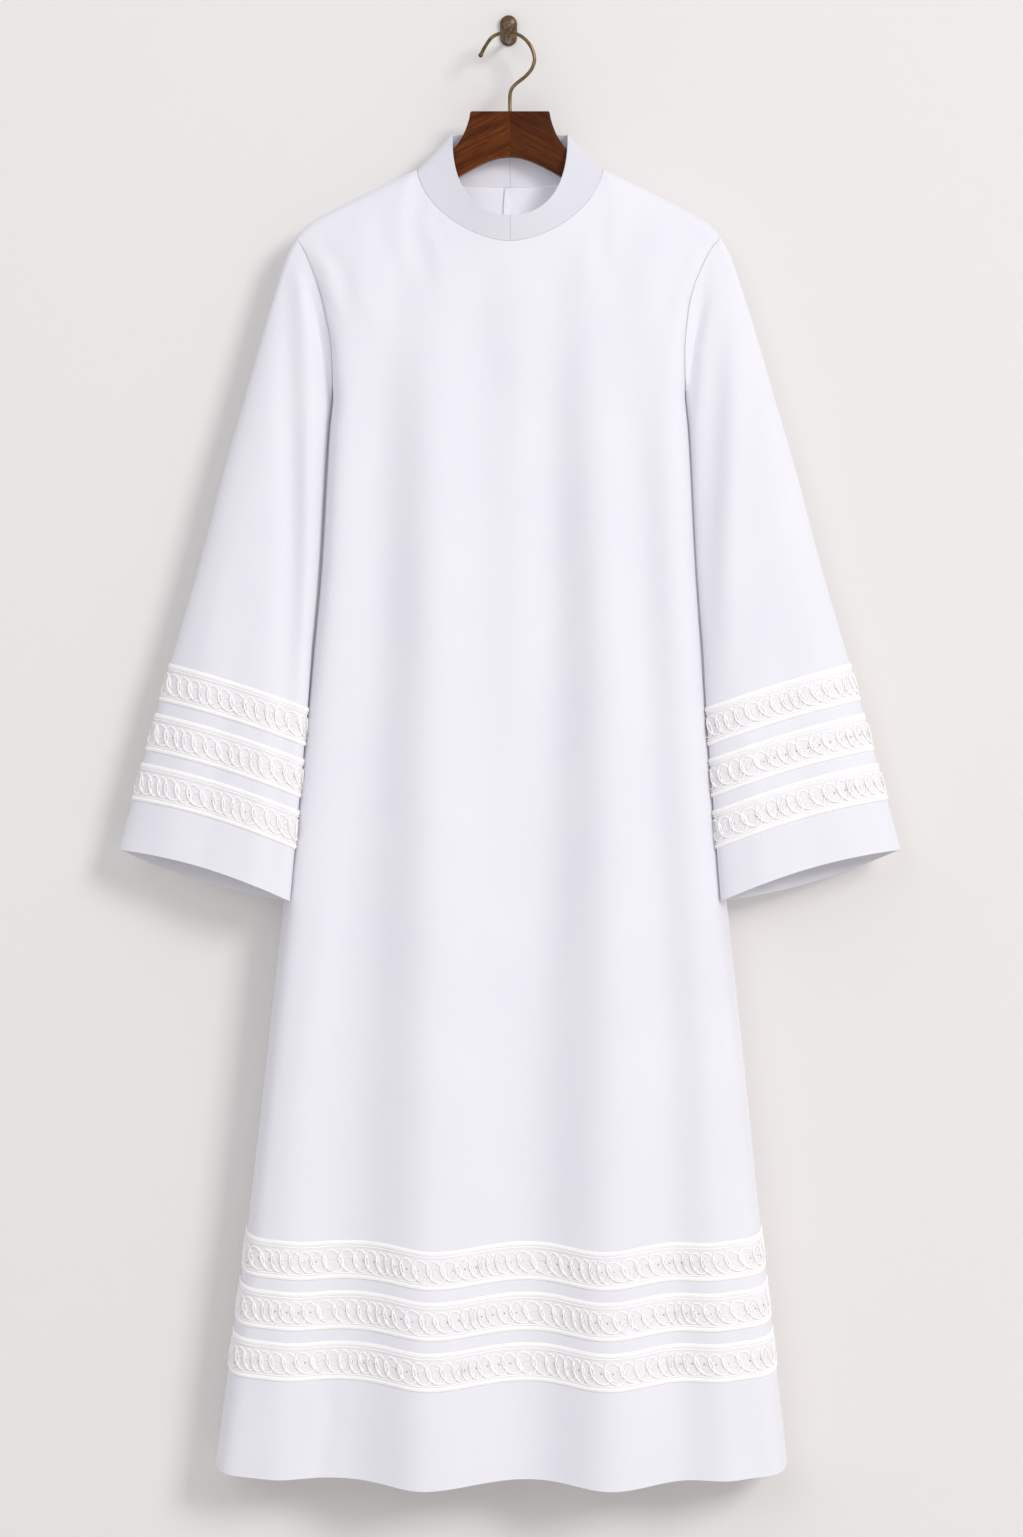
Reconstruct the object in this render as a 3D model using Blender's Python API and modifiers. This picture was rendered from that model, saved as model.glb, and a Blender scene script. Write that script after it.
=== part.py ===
"""A white alb robe on a two-part wooden hanger, hanging from a small hook on a wall.

Lengths are in millimetres until a mesh is made, and in metres in the scene. +Z is up, +X is to
the right of someone who faces the robe, and +Y goes into the wall. The origin is on the wall
plate's back face, level with the wire in the hook. A drop is a depth below the origin, and a
half is a distance from the robe's centre line.
"""

import math
from collections import namedtuple

import bmesh
import bpy
from mathutils import Vector

# Driving sizes
MM = 0.001
CENTRE_X = 1.6  # the robe's centre line hangs just right of the plate
HANG_Y = -42.0  # plane of the hanger, the shoulder seams and the side seams
CLOTH_WALL = 1.5
COLLAR_WALL = 2.0
SEAM_GAP = 0.3
COLLAR_GAP = 0.4
TIP_DROP = 227.0
UNDERARM_LEVEL = 0.1324
HEM_CORNER_DROP = 1572.0
BODY_LENGTH = 1360.0
HEM_SAG = 12.0
HEM_SAG_PER_FOLD = 0.38
UPPER_SHARE = 0.6  # rows of the body and sleeves follow their upper edge as far down as this

# How the body wraps from the front to the sides
COLUMNS = 15  # from the centre line to one side seam
NECK_COLUMNS = 6
CROWDING = 0.6
BODY_SQUARENESS = 5.0
SHOULDER_ROLL = 10.0
CHEST_EASE = 70.0
FAN_OUT_REACH = 30.0  # how soon columns fan out below the neck and shoulders
FAN_IN_REACH = 250.0
ARMHOLE_HALF_DEPTH = 20.0

# Neck ring and collar
NECK_HALF = 102.0
NECK_SIDE_DROP = 151.9
COLLAR_TOP_HALF = 63.5
COLLAR_TOP_DROP = 113.0
PLACKET_EDGES = (-5.5, 1.5, 8.8)  # across, from the centre back seam
PLACKET_LEVELS = (0.003, 0.03, 0.0515, 0.0882, 0.1286, 0.15)
PLACKET_WALL = 1.0
PLACKET_CLEARANCE = 0.2

# Lace bands: both kinds of band have a braid along each edge
BAND_HEIGHT = 42.5
BAND_COUNT = 3
HEM_BAND_FOOT = 107.0
HEM_BAND_GAP = 12.5
CUFF_BAND_FOOT = 57.0
CUFF_BAND_GAP = 14.0
BRAID_WIDTH = 7.6
BRAID_RISE = 1.5
BRAID_SLOPE = 0.6  # width of the step from a braid down to the lace
LACE_RISE = 0.9

# Sleeves
SLEEVE_LENGTH = 600.0
SLEEVE_SQUARENESS = 3.0
CUFF_OUTER_DROP = 900.1
CUFF_INNER_DROP = 955.7
OUTER_EDGE_UPRIGHTNESS = 0.9636
INNER_EDGE_UPRIGHTNESS = 0.996
CUFF_BOW = 9.0
SLEEVE_CLEARANCE = 0.4
SET_IN_LEVEL = 0.35  # above these a sleeve follows the armhole, in outline and in depth
SET_IN_DEPTH_LEVEL = 0.2
SET_IN_COLUMNS_LEVEL = 0.17

# Hanger and hooks
WOOD_THICKNESS = 12.0
WOOD_EDGE = 3.0
WOOD_UNDER_SEAM = 3.4
WIRE_RADIUS = 2.0
WIRE_BALL_RADIUS = 2.7
WIRE_SHANK_DROP = 112.0
BORE_RADIUS = 2.4
BORE_TOP_DROP = 80.0
BORE_DROP = 114.0
PLATE_WIDTH = 19.0
PLATE_HEIGHT = 34.0
PLATE_THICKNESS = 3.0
PLATE_RISE = 8.0  # its middle, above the origin
ARM_RADIUS = 3.0
ARM_TIP_RADIUS = 4.2
DOME_RADIUS = 9.2
DOME_RISE = 4.6
DOME_RIM = 0.6
DOME_HEIGHT = 15.6

Side = namedtuple("Side", "drop left right")
BODY_SIDES = [
    Side(227, 235.4, 231.9),
    Side(241, 226.7, 220.5),
    Side(261, 217.9, 210.4),
    Side(285, 209.1, 200.8),
    Side(312, 202.2, 195.0),
    Side(355, 195.4, 191.6),
    Side(400, 194.5, 192.4),
    Side(439, 198.0, 195.8),
    Side(582, 206.8, 203.3),
    Side(670, 215.3, 210.1),
    Side(956, 248.4, 238.4),
    Side(1165, 271.4, 260.5),
    Side(1317, 288.9, 275.8),
    Side(1572, 323.4, 304.7),
]

# Along runs from the neck to the shoulder tip
Shoulder = namedtuple("Shoulder", "along drop")
SHOULDERS = [
    Shoulder(0.0, 151.9),
    Shoulder(0.25, 167.5),
    Shoulder(0.49, 183.2),
    Shoulder(0.72, 198.6),
    Shoulder(0.865, 209.8),
    Shoulder(0.93, 216.6),
    Shoulder(1.0, 227.0),
]

Depth = namedtuple("Depth", "drop front back")
BODY_DEPTHS = [
    Depth(150, 35, 22),
    Depth(300, 37, 24),
    Depth(600, 38, 27),
    Depth(1000, 39, 29),
    Depth(1600, 40, 30),
]

# A ridge has a positive height, a furrow a negative one. Starts is the drop where a fold begins.
Fold = namedtuple("Fold", "top hem left_reach right_reach height starts")
FRONT_FOLDS = [
    Fold(-150, -252, 26, 34, 6, 520),
    Fold(-72, -93, 52, 70, 28, 330),
    Fold(106, 110, 55, 62, 28, 400),
    Fold(165, 236, 34, 26, 7, 640),
]
BACK_FOLDS = [
    Fold(-110, -190, 40, 46, -11, 420),
    Fold(-45, -62, 44, 38, -13, 520),
    Fold(62, 84, 42, 48, -14, 380),
    Fold(130, 206, 38, 36, -9, 560),
]

# A small fullness makes a ring flatter across its middle, seen from above
Neck = namedtuple("Neck", "sag depth roundness fullness")
NECKS = {"front": Neck(83.2, 32.5, 1.72, 0.75), "back": Neck(17.4, 18.0, 2.0, 0.45)}
COLLAR_TOPS = {"front": Neck(93.9, 31.0, 2.35, 0.7), "back": Neck(-1.6, 14.0, 2.0, 0.45)}

Edge = namedtuple("Edge", "drop half")
SLEEVE_OUTER_EDGE = [
    Edge(227, 233.8),
    Edge(250, 245.0),
    Edge(277, 254.0),
    Edge(330, 270.4),
    Edge(411, 293.5),
    Edge(485, 315.0),
    Edge(582, 340.4),
    Edge(695, 373.2),
    Edge(900.1, 430.0),
]

# Overlap is how far the sleeve's inner edge lies over the body's side, and forward how far in front
Inner = namedtuple("Inner", "drop overlap forward")
SLEEVE_INNER_EDGE = [
    Inner(400, -0.5, 0),
    Inner(560, -1.2, 8),
    Inner(670, -0.8, 16),
    Inner(741, 2.0, 23),
    Inner(858, 5.6, 29),
    Inner(956, 8.2, 32),
]

SleeveDepth = namedtuple("SleeveDepth", "level front back")
SLEEVE_DEPTHS = [
    SleeveDepth(0.0, 20, 18),
    SleeveDepth(0.25, 24, 20),
    SleeveDepth(0.65, 26, 22),
    SleeveDepth(1.0, 28, 24),
]

# The wire's centre line, from its ball end over the wall hook and down to the wood
WirePoint = namedtuple("WirePoint", "across drop")
WIRE_ROUTE = [
    WirePoint(-32.2, 26.2),
    WirePoint(-27.5, 17.0),
    WirePoint(-19.8, 6.6),
    WirePoint(-10.0, 2.0),
    WirePoint(0.0, 1.1),
    WirePoint(10.0, 4.0),
    WirePoint(18.6, 10.6),
    WirePoint(24.6, 20.0),
    WirePoint(27.0, 31.2),
    WirePoint(23.6, 41.7),
    WirePoint(16.2, 50.2),
    WirePoint(6.6, 57.8),
    WirePoint(1.9, 63.5),
    WirePoint(0.0, 71.0),
    WirePoint(0.0, 88.0),
    WirePoint(0.0, WIRE_SHANK_DROP),
]

# The wall hook's arm, from the plate, under the wire and up in front of it
ArmPoint = namedtuple("ArmPoint", "out drop")
ARM_ROUTE = [
    ArmPoint(2.0, 2.6),
    ArmPoint(12.0, 4.8),
    ArmPoint(24.0, 7.2),
    ArmPoint(34.0, 7.6),
    ArmPoint(41.0, 6.5),
    ArmPoint(46.5, 5.2),
    ArmPoint(50.4, 1.6),
    ArmPoint(52.0, -4.0),
]

# The hanger's outline where it isn't set by the robe's shoulders
WoodPoint = namedtuple("WoodPoint", "half drop")
WOOD_NECK = [
    WoodPoint(0.15, 88.4),
    WoodPoint(42.4, 88.4),
    WoodPoint(43.8, 90.0),
    WoodPoint(45.4, 98.5),
    WoodPoint(50.2, 111.8),
    WoodPoint(56.8, 123.2),
    WoodPoint(62.0, 129.4),
    WoodPoint(84.0, 148.0),
    WoodPoint(102.0, 159.5),
]
WOOD_TIP = [
    WoodPoint(208.0, 209.5),
    WoodPoint(216.5, 218.5),
    WoodPoint(220.0, 226.5),
    WoodPoint(218.5, 232.5),
    WoodPoint(213.0, 236.0),
]
WOOD_FOOT = [
    WoodPoint(190.0, 226.5),
    WoodPoint(120.0, 192.5),
    WoodPoint(59.6, 161.9),
    WoodPoint(44.6, 153.5),
    WoodPoint(29.4, 145.9),
    WoodPoint(14.0, 140.2),
    WoodPoint(0.15, 138.3),
]

# Where the rows of a wall lie: drops below the shoulder, then levels, then heights above the hem
SHOULDER_ROWS = [0.0, 1.2, 4.0, 10.0, 28.0, 60.0, 98.0, 140.0]
BODY_LEVELS = [UNDERARM_LEVEL, 0.18, 0.25, 0.34, 0.44, 0.54, 0.64, 0.73]
SLEEVE_LEVELS = [0.0, 0.03, 0.09, 0.17, 0.27, 0.38, 0.5]


def lerp(low, high, part):
    return low + (high - low) * part


def read_table(rows, at, column):
    """Smooth value of a column where the table's first column is at, with no overshoot."""
    keys = [row[0] for row in rows]
    values = [getattr(row, column) for row in rows]
    at = min(max(at, keys[0]), keys[-1])
    i = max(j for j in range(len(keys) - 1) if keys[j] <= at)
    rises = [(values[j + 1] - values[j]) / (keys[j + 1] - keys[j]) for j in range(len(keys) - 1)]

    def tangent(j):
        if j == 0:
            return rises[0]
        if j == len(keys) - 1:
            return rises[-1]
        if rises[j - 1] * rises[j] <= 0:
            return 0.0
        return 2 * rises[j - 1] * rises[j] / (rises[j - 1] + rises[j])

    width = keys[i + 1] - keys[i]
    t = (at - keys[i]) / width
    return (
        values[i] * (2 * t**3 - 3 * t**2 + 1)
        + width * tangent(i) * (t**3 - 2 * t**2 + t)
        + values[i + 1] * (3 * t**2 - 2 * t**3)
        + width * tangent(i + 1) * (t**3 - t**2)
    )


def across(column):
    """Place of a column between the side seams, from -1 to 1, closer together near the sides."""
    part = abs(column) / COLUMNS
    return math.copysign(part + CROWDING * math.sin(math.pi * part) / math.pi, column)


NECK_PLACE = across(NECK_COLUMNS)


def side_half(drop, place):
    return read_table(BODY_SIDES, drop, "left" if place < 0 else "right")


def side_fullness(place):
    """One in the middle of a panel, falling to nothing where it turns into the side seam."""
    return math.sqrt(max(0.0, 1.0 - abs(place) ** BODY_SQUARENESS))


def neck_turn(place):
    """Angle round the neck ring, in smaller steps near the shoulder seam."""
    part = min(1.0, abs(place) / NECK_PLACE)
    return math.pi / 2 * (part + math.sin(math.pi / 2 * part)) / 2


def top_line(face, place):
    """X and drop of a panel's upper edge: half the neck ring, then a shoulder seam."""
    if abs(place) <= NECK_PLACE:
        neck = NECKS[face]
        turn = neck_turn(place)
        x = NECK_HALF * math.sin(turn) ** (2 / neck.roundness)
        drop = NECK_SIDE_DROP + neck.sag * max(0.0, math.cos(turn)) ** (2 / neck.roundness)
    else:
        along = (abs(place) - NECK_PLACE) / (1 - NECK_PLACE)
        x = lerp(NECK_HALF, side_half(TIP_DROP, place), along)
        drop = read_table(SHOULDERS, along, "drop")
    return math.copysign(x, place), drop


def fold_rise(face, x, drop):
    """How far the long folds lift a panel off its smooth form."""
    rise = 0.0
    for fold in FRONT_FOLDS if face == "front" else BACK_FOLDS:
        grown = (drop - fold.starts) / (HEM_CORNER_DROP - fold.starts)
        if grown > 0:
            off = x - lerp(fold.top, fold.hem, grown)
            reach = fold.left_reach if off < 0 else fold.right_reach
            rise += fold.height * grown**1.3 * math.exp(-((off / reach) ** 2))
    return rise


def hem_drop(face, place):
    x = lerp(-side_half(HEM_CORNER_DROP, -1), side_half(HEM_CORNER_DROP, 1), (place + 1) / 2)
    sag = HEM_SAG + HEM_SAG_PER_FOLD * fold_rise(face, x, HEM_CORNER_DROP)
    return HEM_CORNER_DROP + sag * side_fullness(place)


def row_drop(face, place, level):
    """Rows follow the upper edge near level 0, and keep one distance from the hem below."""
    hem = hem_drop(face, place)
    length = hem - top_line(face, place)[1]
    upper = max(0.0, 1 - level / UPPER_SHARE) ** 2
    return hem - (1 - level) * (BODY_LENGTH + (length - BODY_LENGTH) * upper)


UNDERARM_DROP = row_drop("front", 1, UNDERARM_LEVEL)


def neck_depth(face, place):
    neck = NECKS[face]
    return neck.depth * max(0.0, math.cos(neck_turn(place))) ** neck.fullness


def roll(below):
    """Quarter round over the hanger's arm, as a share of its radius."""
    return math.sqrt(1 - (1 - min(1.0, below / SHOULDER_ROLL)) ** 2)


def armhole_closing(drop):
    if drop >= UNDERARM_DROP:
        return 0.0
    lowered = max(0.0, drop - TIP_DROP) / (UNDERARM_DROP - TIP_DROP)
    return math.sqrt(1 - lowered**4)


def shoulder_drop(x):
    """Drop of the shoulder seam at a distance from the centre line, level across the neck."""
    along = (abs(x) - NECK_HALF) / (side_half(TIP_DROP, x) - NECK_HALF)
    return read_table(SHOULDERS, along, "drop")


def body_depth(face, place, x, drop):
    """Distance of a panel from the plane of the side seams."""
    below = max(0.0, drop - shoulder_drop(x))
    base = math.hypot(SHOULDER_ROLL * roll(below), neck_depth(face, place))
    eased = 1 - math.exp(-max(0.0, drop - top_line(face, place)[1]) / CHEST_EASE)
    full = lerp(base, read_table(BODY_DEPTHS, drop, face), eased)
    edge = lerp(base, ARMHOLE_HALF_DEPTH, eased) * armhole_closing(drop)
    return lerp(edge, full, side_fullness(place)) + fold_rise(face, x, drop) * side_fullness(place)


def body_point(face, place, level):
    """A point of the robe's outer surface. Place runs from -1 to 1, level from 0 to 1 at the hem."""
    drop = row_drop(face, place, level)
    left = side_half(row_drop(face, -1, level), -1)
    right = side_half(row_drop(face, 1, level), 1)
    part = (place + 1) / 2
    top_x, top_drop = top_line(face, place)
    top_shift = top_x - lerp(-side_half(TIP_DROP, -1), side_half(TIP_DROP, 1), part)
    reach = FAN_OUT_REACH if top_shift * place < 0 else FAN_IN_REACH
    x = lerp(-left, right, part) + top_shift * math.exp(-(drop - top_drop) / reach)
    away = SEAM_GAP / 2 + body_depth(face, place, x, drop)
    y = HANG_Y - away if face == "front" else HANG_Y + away
    return Vector((CENTRE_X + x, y, -drop))


def neck_normal(face, place):
    """Level direction out of the neck ring, square to the seam seen from above."""
    step = 0.02 if face == "front" else -0.02
    along = body_point(face, place + step, 0.0) - body_point(face, place - step, 0.0)
    return square_to(Vector((0.0, 0.0, -1.0)).cross(along), 2)


def hem_band_heights():
    """Height of each hem band's lower and upper edge above the hem, lowest band first."""
    feet = [HEM_BAND_FOOT + n * (BAND_HEIGHT + HEM_BAND_GAP) for n in range(BAND_COUNT)]
    return [(foot, foot + BAND_HEIGHT) for foot in feet]


def body_levels():
    """Every row of a body panel, from the upper edge to the hem, with one at each band's edge."""
    levels = [drop / BODY_LENGTH for drop in SHOULDER_ROWS] + BODY_LEVELS
    heights = sorted((height for band in hem_band_heights() for height in band), reverse=True)
    return levels + [1 - height / BODY_LENGTH for height in heights] + [1.0]


def grid_normals(rows, closed=False):
    """Outward direction at each point of a grid whose rows run down and columns run rightwards."""
    normals = []
    last_row, last = len(rows) - 1, len(rows[0]) - 1
    for i, row in enumerate(rows):
        line = []
        for j in range(len(row)):
            before, after = (j - 1, (j + 1) % len(row)) if closed else (max(j - 1, 0), min(j + 1, last))
            along = row[after] - row[before]
            down = rows[min(i + 1, last_row)][j] - rows[max(i - 1, 0)][j]
            line.append(down.cross(along).normalized())
        normals.append(line)
    return normals


def square_to(normal, axis):
    """The same direction with nothing along an axis, so a seam's edge is cut square to it."""
    squared = normal.copy()
    squared[axis] = 0.0
    return squared.normalized()


def make_material(name, color, roughness, metallic=0.0):
    material = bpy.data.materials.new(name)
    material.use_nodes = True
    shader = material.node_tree.nodes["Principled BSDF"]
    shader.inputs["Base Color"].default_value = (*color, 1.0)
    shader.inputs["Roughness"].default_value = roughness
    shader.inputs["Metallic"].default_value = metallic
    return material


def add_object(name, mesh, material, collection):
    mesh.materials.clear()
    mesh.materials.append(material)
    mesh.shade_smooth()
    mesh.set_sharp_from_angle(angle=math.radians(40))
    made = bpy.data.objects.new(name, mesh)
    collection.objects.link(made)
    return made


def triangle_mesh(name, points, faces):
    """A mesh whose faces are cut from their first corner, so walls that lie on each other match."""
    mesh = bpy.data.meshes.new(name)
    mesh.from_pydata(points, [], faces)
    work = bmesh.new()
    work.from_mesh(mesh)
    bmesh.ops.triangulate(work, faces=work.faces, quad_method="FIXED")
    bmesh.ops.recalc_face_normals(work, faces=work.faces)
    work.to_mesh(mesh)
    work.free()
    return mesh


def wall_mesh(name, outer, inner, closed=False, mirrored=()):
    """A closed wall between two grids, the inner one behind the outer one, with its rims.

    Mirrored columns are cut along the other corner, so a panel's two halves mirror each other.
    """
    rows, columns = len(outer), len(outer[0])
    points = [point * MM for grid in (outer, inner) for row in grid for point in row]
    inside = rows * columns
    spans = columns if closed else columns - 1
    faces = []
    for i in range(rows - 1):
        for j in range(spans):
            a, b = i * columns + j, i * columns + (j + 1) % columns
            corners = [a, a + columns, b + columns, b]
            if j in mirrored:
                corners = corners[1:] + corners[:1]
            faces.append(corners)
            faces.append([corner + inside for corner in corners])
    for i in (0, rows - 1):
        for j in range(spans):
            a, b = i * columns + j, i * columns + (j + 1) % columns
            rim = [a, b, b + inside, a + inside]
            faces.append(rim[1:] + rim[:1] if j in mirrored else rim)
    if not closed:
        for j in (0, columns - 1):
            for i in range(rows - 1):
                a, b = i * columns + j, (i + 1) * columns + j
                faces.append([a, b, b + inside, a + inside])
    return triangle_mesh(name, points, faces)


def body_grid(face, columns):
    """Outer grid of a panel and the outward direction at each of its points, squared at seams.

    The columns run anticlockwise seen from above, so left to right on the front.
    """
    places = [across(column) for column in columns]
    rows = [[body_point(face, place, level) for place in places] for level in body_levels()]
    normals = grid_normals(rows)
    for i, row in enumerate(rows):
        for j, place in enumerate(places):
            if i == 0 and abs(place) < NECK_PLACE:
                normals[i][j] = neck_normal(face, place)
            elif i == 0:
                normals[i][j] = square_to(normals[i][j], 1)
            if abs(place) == 1 and -row[j].z >= UNDERARM_DROP - 1:
                normals[i][j] = square_to(normals[i][j], 1)
            if face == "back" and place == 0:
                normals[i][j] = square_to(normals[i][j], 0)
    return rows, normals


def shifted(rows, normals, distance):
    return [[p + n * distance for p, n in zip(row, line)] for row, line in zip(rows, normals)]


FRONT_COLUMNS = range(-COLUMNS, COLUMNS + 1)
RIGHT_HALF = range(COLUMNS, 2 * COLUMNS)
BACK_RIGHT_COLUMNS = range(COLUMNS, -1, -1)
BACK_LEFT_COLUMNS = range(0, -COLUMNS - 1, -1)


def make_front(collection, cloth):
    rows, normals = body_grid("front", FRONT_COLUMNS)
    inner = shifted(rows, normals, -CLOTH_WALL)
    mesh = wall_mesh("front_panel", rows, inner, mirrored=RIGHT_HALF)
    add_object("front_panel", mesh, cloth, collection)


def make_back(collection, cloth, name, columns):
    rows, normals = body_grid("back", columns)
    side, centre = (1, -1) if columns == BACK_RIGHT_COLUMNS else (-1, 0)
    for row in rows:
        row[centre].x += side * SEAM_GAP / 2
    mesh = wall_mesh(name, rows, shifted(rows, normals, -CLOTH_WALL))
    add_object(name, mesh, cloth, collection)


def make_placket(collection, cloth):
    """The lap that backs the neck slit, on the inside of the back panels."""
    outer, inner = [], []
    behind = SEAM_GAP + CLOTH_WALL + PLACKET_CLEARANCE
    for level in PLACKET_LEVELS:
        seam = body_point("back", 0.0, level)
        row = [Vector((seam.x + x, seam.y - behind, seam.z)) for x in PLACKET_EDGES]
        outer.append(row)
        inner.append([point - Vector((0, PLACKET_WALL, 0)) for point in row])
    add_object("back_placket", wall_mesh("back_placket", outer, inner), cloth, collection)


def collar_columns(sign):
    """Face and place of each collar column, anticlockwise seen from above."""
    front = [("front", sign * across(column)) for column in range(NECK_COLUMNS)]
    back = [("back", sign * across(column)) for column in range(NECK_COLUMNS, -1, -1)]
    return (front + back)[::sign]


def collar_top_point(face, place, sign):
    top = COLLAR_TOPS[face]
    turn = neck_turn(place)
    x = COLLAR_TOP_HALF * math.sin(turn) ** (2 / top.roundness)
    drop = COLLAR_TOP_DROP + top.sag * max(0.0, math.cos(turn)) ** (2 / top.roundness)
    depth = top.depth * max(0.0, math.cos(turn)) ** top.fullness
    y = HANG_Y - depth if face == "front" else HANG_Y + depth
    return Vector((CENTRE_X + sign * x, y, -drop))


def make_collar(collection, cloth, name, sign):
    """Half of the standing band, from the centre front seam to the centre back seam."""
    tops = [collar_top_point(face, place, sign) for face, place in collar_columns(sign)]
    seam = [body_point(face, place, 0.0) for face, place in collar_columns(sign)]
    feet = [foot + (top - foot).normalized() * COLLAR_GAP for foot, top in zip(seam, tops)]
    for line in (feet, tops):
        for end in (line[0], line[-1]):
            end.x = CENTRE_X + sign * SEAM_GAP / 2
    middles = [(foot + top) / 2 for foot, top in zip(feet, tops)]
    outer = [tops, middles, feet]
    normals = grid_normals(outer)
    for j, (face, place) in enumerate(collar_columns(sign)):
        if abs(place) < NECK_PLACE:
            normals[-1][j] = neck_normal(face, place)
        else:
            normals[-1][j] = square_to(normals[-1][j], 2)
    for line in normals:
        line[0], line[-1] = square_to(line[0], 0), square_to(line[-1], 0)
    mirrored = range(2 * NECK_COLUMNS) if sign > 0 else ()
    mesh = wall_mesh(name, outer, shifted(outer, normals, -COLLAR_WALL), mirrored=mirrored)
    add_object(name, mesh, cloth, collection)


def sleeve_reach(edge_length, level):
    """Distance above the cuff of a sleeve's row at an edge, one for all columns in its lower part."""
    upper = max(0.0, 1 - level / UPPER_SHARE) ** 2
    return (1 - level) * (SLEEVE_LENGTH + (edge_length - SLEEVE_LENGTH) * upper)


def sleeve_edges(level, side):
    """Half and drop of the outer and the inner edge, and how far the inner one is forward."""
    outer_length = (CUFF_OUTER_DROP - TIP_DROP) / OUTER_EDGE_UPRIGHTNESS
    outer_drop = CUFF_OUTER_DROP - sleeve_reach(outer_length, level) * OUTER_EDGE_UPRIGHTNESS
    outer_half = read_table(SLEEVE_OUTER_EDGE, outer_drop, "half")
    inner_length = (CUFF_INNER_DROP - UNDERARM_DROP) / INNER_EDGE_UPRIGHTNESS
    inner_drop = CUFF_INNER_DROP - sleeve_reach(inner_length, level) * INNER_EDGE_UPRIGHTNESS
    overlap = read_table(SLEEVE_INNER_EDGE, inner_drop, "overlap")
    inner_half = side_half(inner_drop, side) - overlap
    forward = read_table(SLEEVE_INNER_EDGE, inner_drop, "forward")
    return outer_half, outer_drop, inner_half, inner_drop, forward


def sleeve_point(face, side, part, level):
    """A point of a sleeve's outer surface. Part runs from the outer edge to the inner edge."""
    outer_half, outer_drop, inner_half, inner_drop, forward = sleeve_edges(level, side)
    half = lerp(outer_half, inner_half, part)
    drop = lerp(outer_drop, inner_drop, part)
    start = sleeve_edges(0.0, side)
    armhole_drop = lerp(TIP_DROP, UNDERARM_DROP, part)
    seam_half = side_half(armhole_drop, side)
    fade = max(0.0, 1 - level / SET_IN_LEVEL) ** 2
    half += fade * (seam_half + SLEEVE_CLEARANCE - lerp(start[0], start[2], part))
    drop += fade * (armhole_drop - lerp(start[1], start[3], part))
    bow = CUFF_BOW * level**3 * 4 * part * (1 - part)
    drop += -bow if face == "front" else bow
    lens = math.sqrt(max(0.0, 1 - abs(2 * part - 1) ** SLEEVE_SQUARENESS))
    hung = read_table(SLEEVE_DEPTHS, level, face) * lens
    opened = body_depth(face, side, side * seam_half, armhole_drop) + SEAM_GAP / 2
    depth = lerp(hung, opened, max(0.0, 1 - level / SET_IN_DEPTH_LEVEL) ** 2)
    middle = HANG_Y - forward * part
    y = middle - depth if face == "front" else middle + depth
    return Vector((CENTRE_X + side * half, y, -drop))


def cuff_band_heights():
    feet = [CUFF_BAND_FOOT + n * (BAND_HEIGHT + CUFF_BAND_GAP) for n in range(BAND_COUNT)]
    return [(foot, foot + BAND_HEIGHT) for foot in feet]


def sleeve_levels():
    heights = sorted((height for band in cuff_band_heights() for height in band), reverse=True)
    return SLEEVE_LEVELS + [1 - height / SLEEVE_LENGTH for height in heights] + [1.0]


def armhole_drops():
    """Where the body's rows meet the armhole, from the shoulder tip down to the underarm."""
    levels = [level for level in body_levels() if level <= UNDERARM_LEVEL]
    return [row_drop("front", 1, level) for level in levels]


def sleeve_parts(level):
    """Places across a sleeve: at the body's rows round the armhole, and crowded at both edges below."""
    drops = armhole_drops()
    last = len(drops) - 1
    at_armhole = [(drop - TIP_DROP) / (UNDERARM_DROP - TIP_DROP) for drop in drops]
    hung = [0.5 - 0.5 * math.cos(math.pi * n / last) for n in range(last + 1)]
    hanging = min(1.0, level / SET_IN_COLUMNS_LEVEL)
    return [lerp(low, high, hanging) for low, high in zip(at_armhole, hung)]


def sleeve_ring(side, level):
    """One row right round a sleeve, anticlockwise seen from above."""
    parts = sleeve_parts(level)
    front = [sleeve_point("front", side, part, level) for part in parts]
    back = [sleeve_point("back", side, part, level) for part in parts[-2:0:-1]]
    ring = front + back
    return ring if side < 0 else ring[::-1]


def sleeve_grid(side):
    rows = [sleeve_ring(side, level) for level in sleeve_levels()]
    normals = grid_normals(rows, closed=True)
    for normal in normals[0]:
        if normal.x * side > 0:
            normal.x = 0.0
            normal.normalize()
    return rows, normals


def make_sleeve(collection, cloth, name, side):
    rows, normals = sleeve_grid(side)
    mesh = wall_mesh(name, rows, shifted(rows, normals, -CLOTH_WALL), closed=True)
    add_object(name, mesh, cloth, collection)


def band_profile():
    """Share of the band's height and rise off the cloth, from the upper edge down its face."""
    braid = BRAID_WIDTH / BAND_HEIGHT
    lace = braid + BRAID_SLOPE / BAND_HEIGHT
    top, low = SEAM_GAP + BRAID_RISE, SEAM_GAP + LACE_RISE
    return [(0.0, top), (braid, top), (lace, low), (1 - lace, low), (1 - braid, top), (1.0, top)]


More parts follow.
